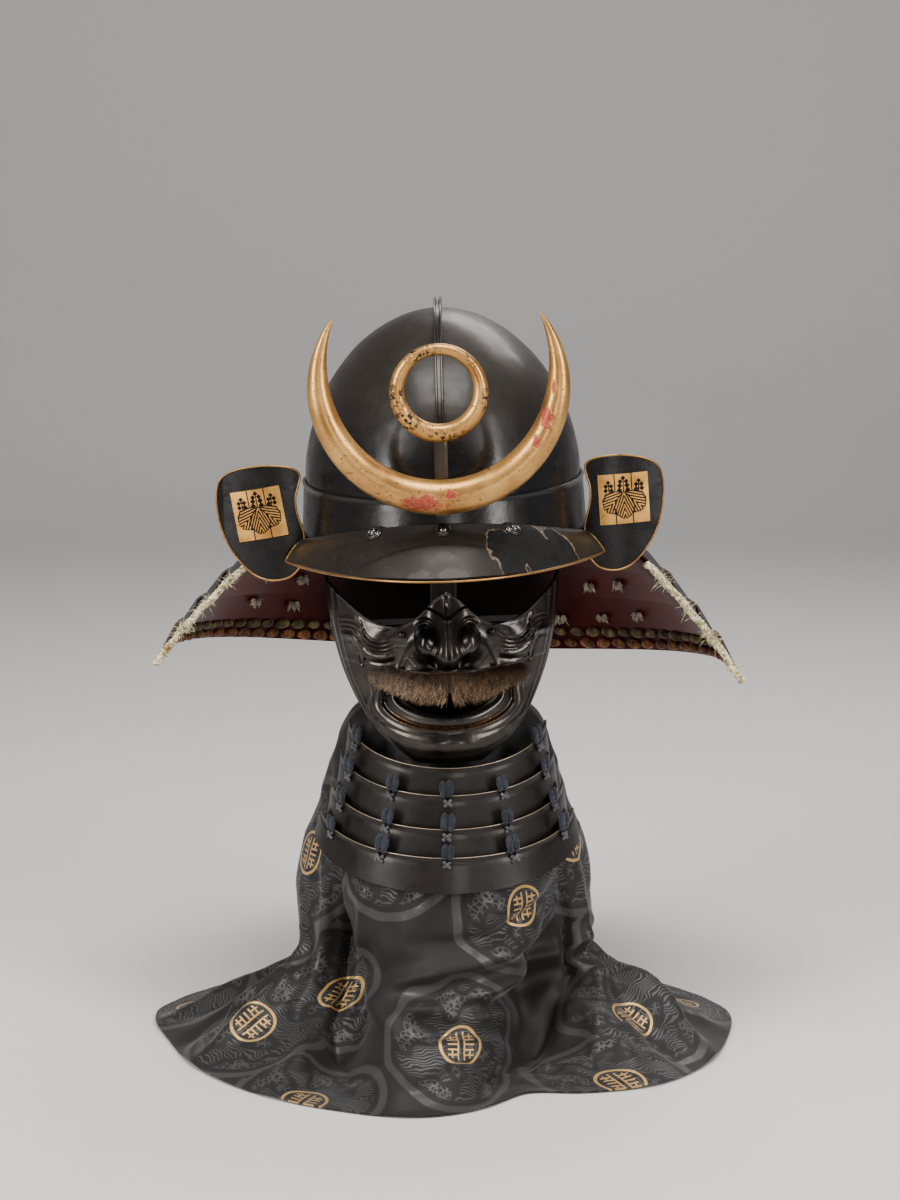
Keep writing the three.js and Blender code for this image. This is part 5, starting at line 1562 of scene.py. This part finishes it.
# charcoal silk damask: hatched rings with scales, waves and clouds in them, and a gold round in the middle of each
def damask():
    d, soft = damaskShape, damaskShape["soft"]
    place = newMaterial("damask", Sheen_Weight=0.25, Sheen_Roughness=0.4)
    woven = addNode("ShaderNodeAttribute", attribute_name="woven").outputs["Vector"]
    parts = addNode("ShaderNodeSeparateXYZ", {0: woven})
    x, y = parts.outputs["X"], parts.outputs["Y"]
    away = calculate("SQRT", plus(times(x, x), times(y, y)))
    flat = addNode("ShaderNodeCombineXYZ", {"X": x, "Y": y, "Z": 0.0}).outputs["Vector"]

    def within(value, low, high, soft=0.0006):
        rising = between(value, low - soft, low + soft)
        falling = between(value, high - soft, high + soft, 1.0, 0.0)
        return times(rising, falling)

    def stripes(value, perMetre, width=0.5):
        wave = calculate("FRACT", times(value, perMetre))
        return calculate("LESS_THAN", wave, width)

    bearing = calculate("ARCTAN2", y, x)
    ring = within(away, *d["ring"])
    hatch = stripes(plus(bearing, times(away, 60.0)), 22.0, 0.45)
    ring = times(ring, plus(0.3, times(hatch, 1.3)))
    scales = addNode("ShaderNodeTexVoronoi", {"Vector": flat, "Scale": d["scales"]}, feature="DISTANCE_TO_EDGE")
    scaleLine = calculate("LESS_THAN", scales.outputs["Distance"], 0.12)
    drift = noiseOf(flat, 45, 2, 0.5)
    ripple = stripes(plus(y, times(drift, 0.02)), d["ripples"], 0.42)
    zone = noiseOf(flat, 38, 1, 0.4)
    inside = within(away, -1.0, d["figures"], 0.001)
    cloud = times(between(zone, 0.50, 0.53), ripple)
    scaly = times(between(zone, 0.44, 0.41), scaleLine)
    figure = times(inside, larger(cloud, scaly))
    figure = larger(figure, ring)
    weave = stripes(plus(x, y), d["weave"], 0.5)
    figure = times(figure, plus(0.6, times(weave, 0.4)))
    uneven = noiseOf(place, 16, 3)
    silk = mixColor(uneven, (0.0085, 0.008, 0.008), (0.0145, 0.0125, 0.0125))
    base = mixColor(times(figure, 0.7), silk, (0.086, 0.084, 0.085))
    # gold round: a ring, a cross bar and level bars joined by uprights, the same left and right
    acrossX, acrossY = calculate("ABSOLUTE", x), calculate("ABSOLUTE", y)
    outer = within(away, *d["round"], soft)
    bars = larger(within(acrossY, -1.0, 0.0007, soft), within(acrossY, 0.0034, 0.0047, soft))
    bars = larger(bars, within(acrossY, 0.0073, 0.0086, soft))
    bars = times(bars, within(acrossX, 0.0018, 0.0106, soft))
    upright = times(within(acrossX, 0.0018, 0.0031, soft), within(acrossY, -1.0, 0.0122, soft))
    short = times(within(acrossX, 0.0066, 0.0079, soft), within(acrossY, 0.0034, 0.0105, soft))
    upright = larger(upright, short)
    middle = calculate("LESS_THAN", away, d["motif"])
    motif = times(middle, larger(bars, upright))
    gold = larger(motif, outer)
    thread = stripes(plus(x, times(y, 0.6)), d["threads"], 0.6)
    gold = times(gold, plus(0.55, times(thread, 0.45)))
    base = mixColor(gold, base, (0.62, 0.40, 0.16))
    rough = minus(0.62, times(larger(figure, gold), 0.24))
    fine = noiseOf(place, 900, 2)
    level = plus(times(fine, 0.2), times(gold, 0.8))
    return finished(Base_Color=base, Roughness=rough, Metallic=times(gold, 0.55),
                    Normal=bumpOf(level, 0.0004, 0.5))


def makeCover():
    c = coverShape
    clearSelection()
    bpy.ops.mesh.primitive_grid_add(x_subdivisions=c["across"], y_subdivisions=c["down"], size=2)
    obj = bpy.context.object
    across = []
    for vertex in obj.data.vertices:
        u, v = clamp((vertex.co.x + 1) / 2), clamp((1 - vertex.co.y) / 2)
        across.append((u, v))
    step = 0.003
    for vertex, (u, v) in zip(obj.data.vertices, across):
        here = coverPoint(u, v)
        side = coverPoint(u + step, v) - coverPoint(u - step, v)
        down = coverPoint(u, min(1, v + step)) - coverPoint(u, max(0, v - step))
        out = side.cross(down).normalized()
        if out.dot(Vector((here.x, here.y, 0.02))) < 0:
            out.negate()
        relief = c["foldGain"] * foldRelief(u, *flatPlace(v))
        turned = Vector((math.cos(u * 2 * math.pi), math.sin(u * 2 * math.pi), v * 3))
        relief += c["slack"] * noise.noise(turned * 6) * min(1, v * 3) * min(1, (1 - v) * 8 + 0.3)
        here += out * relief
        here.z = max(here.z, coverRows[-1][1] - 0.0006 + 0.0008 * (1 + noise.noise(turned * 9)))
        vertex.co = here
    obj.name = "cover"
    layPattern(obj, across)
    cleanMesh(obj, 0.00001)
    area = sum(face.area for face in obj.data.polygons)
    thicken(obj, c["wall"], lambda centre: Vector((centre.x, centre.y, 0.03)))
    for vertex in obj.data.vertices:
        vertex.co.z = max(vertex.co.z, c["floorGap"])
    finishPiece(obj, "clothCover", damask(), None, ["stand_cover"], 60)
    return obj, area


cover, coverArea = makeCover()
print("cloth cover made, area", round(coverArea, 4))

# the stand keeps its solids and gets its finish: a near-black stain, which also paints the shade seen through the eye
# holes
standStainAndShade = fibre("stand wood", (0.012, 0.009, 0.007), (0.035, 0.024, 0.017), 60, 0.6)
for name in ("display_stand", "stand_post", "mask_bar"):
    node = bpy.data.objects[name]
    node.data.materials.clear()
    node.data.materials.append(standStainAndShade)

# pale floor and backdrop, soft lights
stageShape = {"half": 4.0, "backAt": 2.2, "bend": 0.8, "floor": (0.62, 0.61, 0.6), "world": 0.24}


def makeStage():
    clearSelection()
    bpy.ops.mesh.primitive_grid_add(x_subdivisions=4, y_subdivisions=60, size=2)
    obj = bpy.context.object
    bend = stageShape["bend"]
    for vertex in obj.data.vertices:
        along = (vertex.co.y + 1) / 2 * 9.0 - 4.5
        over = along - stageShape["backAt"]
        if over <= 0:
            y, z = along, 0.0
        elif over < bend * math.pi / 2:
            y, z = stageShape["backAt"] + bend * math.sin(over / bend), bend * (1 - math.cos(over / bend))
        else:
            y, z = stageShape["backAt"] + bend, bend + over - bend * math.pi / 2
        vertex.co = (vertex.co.x * stageShape["half"], y, z)
    obj.name = "floor"
    place = newMaterial("floor paper", Roughness=0.9)
    fine = noiseOf(place, 60, 3)
    pale = stageShape["floor"]
    obj.data.materials.append(finished(Base_Color=mixColor(fine, pale, tuple(0.97 * c for c in pale))))
    bpy.ops.object.shade_smooth()


def addLight(name, place, aimZ, size, power):
    light = bpy.data.lights.new(name, "AREA")
    light.shape = "RECTANGLE"
    light.size, light.size_y = size
    light.energy = power
    light.color = (1.0, 0.98, 0.95)
    obj = addObject(name, light)
    obj.location = place
    obj.rotation_euler = (Vector((0, 0, aimZ)) - Vector(place)).to_track_quat("-Z", "Y").to_euler()


makeStage()
world = bpy.data.worlds.new("studio")
world.use_nodes = True
world.node_tree.nodes["Background"].inputs["Color"].default_value = (0.9, 0.93, 1.0, 1)
world.node_tree.nodes["Background"].inputs["Strength"].default_value = stageShape["world"]
bpy.context.scene.world = world
# each light: name, place, height that it aims at, size and power
for name, place, aimZ, size, power in (("left strip", (-1.3, -1.1, 1.0), 0.35, (0.5, 1.4), 26),
                                       ("right strip", (1.3, -1.1, 1.0), 0.35, (0.5, 1.4), 22),
                                       ("top", (0.0, -0.5, 2.0), 0.3, (1.2, 0.9), 26),
                                       ("front", (0.3, -1.75, 0.45), 0.32, (0.3, 0.3), 2.6),
                                       ("back", (0.5, 1.3, 1.6), 0.35, (1.2, 0.6), 12)):
    addLight(name, place, aimZ, size, power)
bpy.context.scene.view_settings.view_transform = "AgX"
bpy.context.scene.view_settings.look = "AgX - Medium High Contrast"
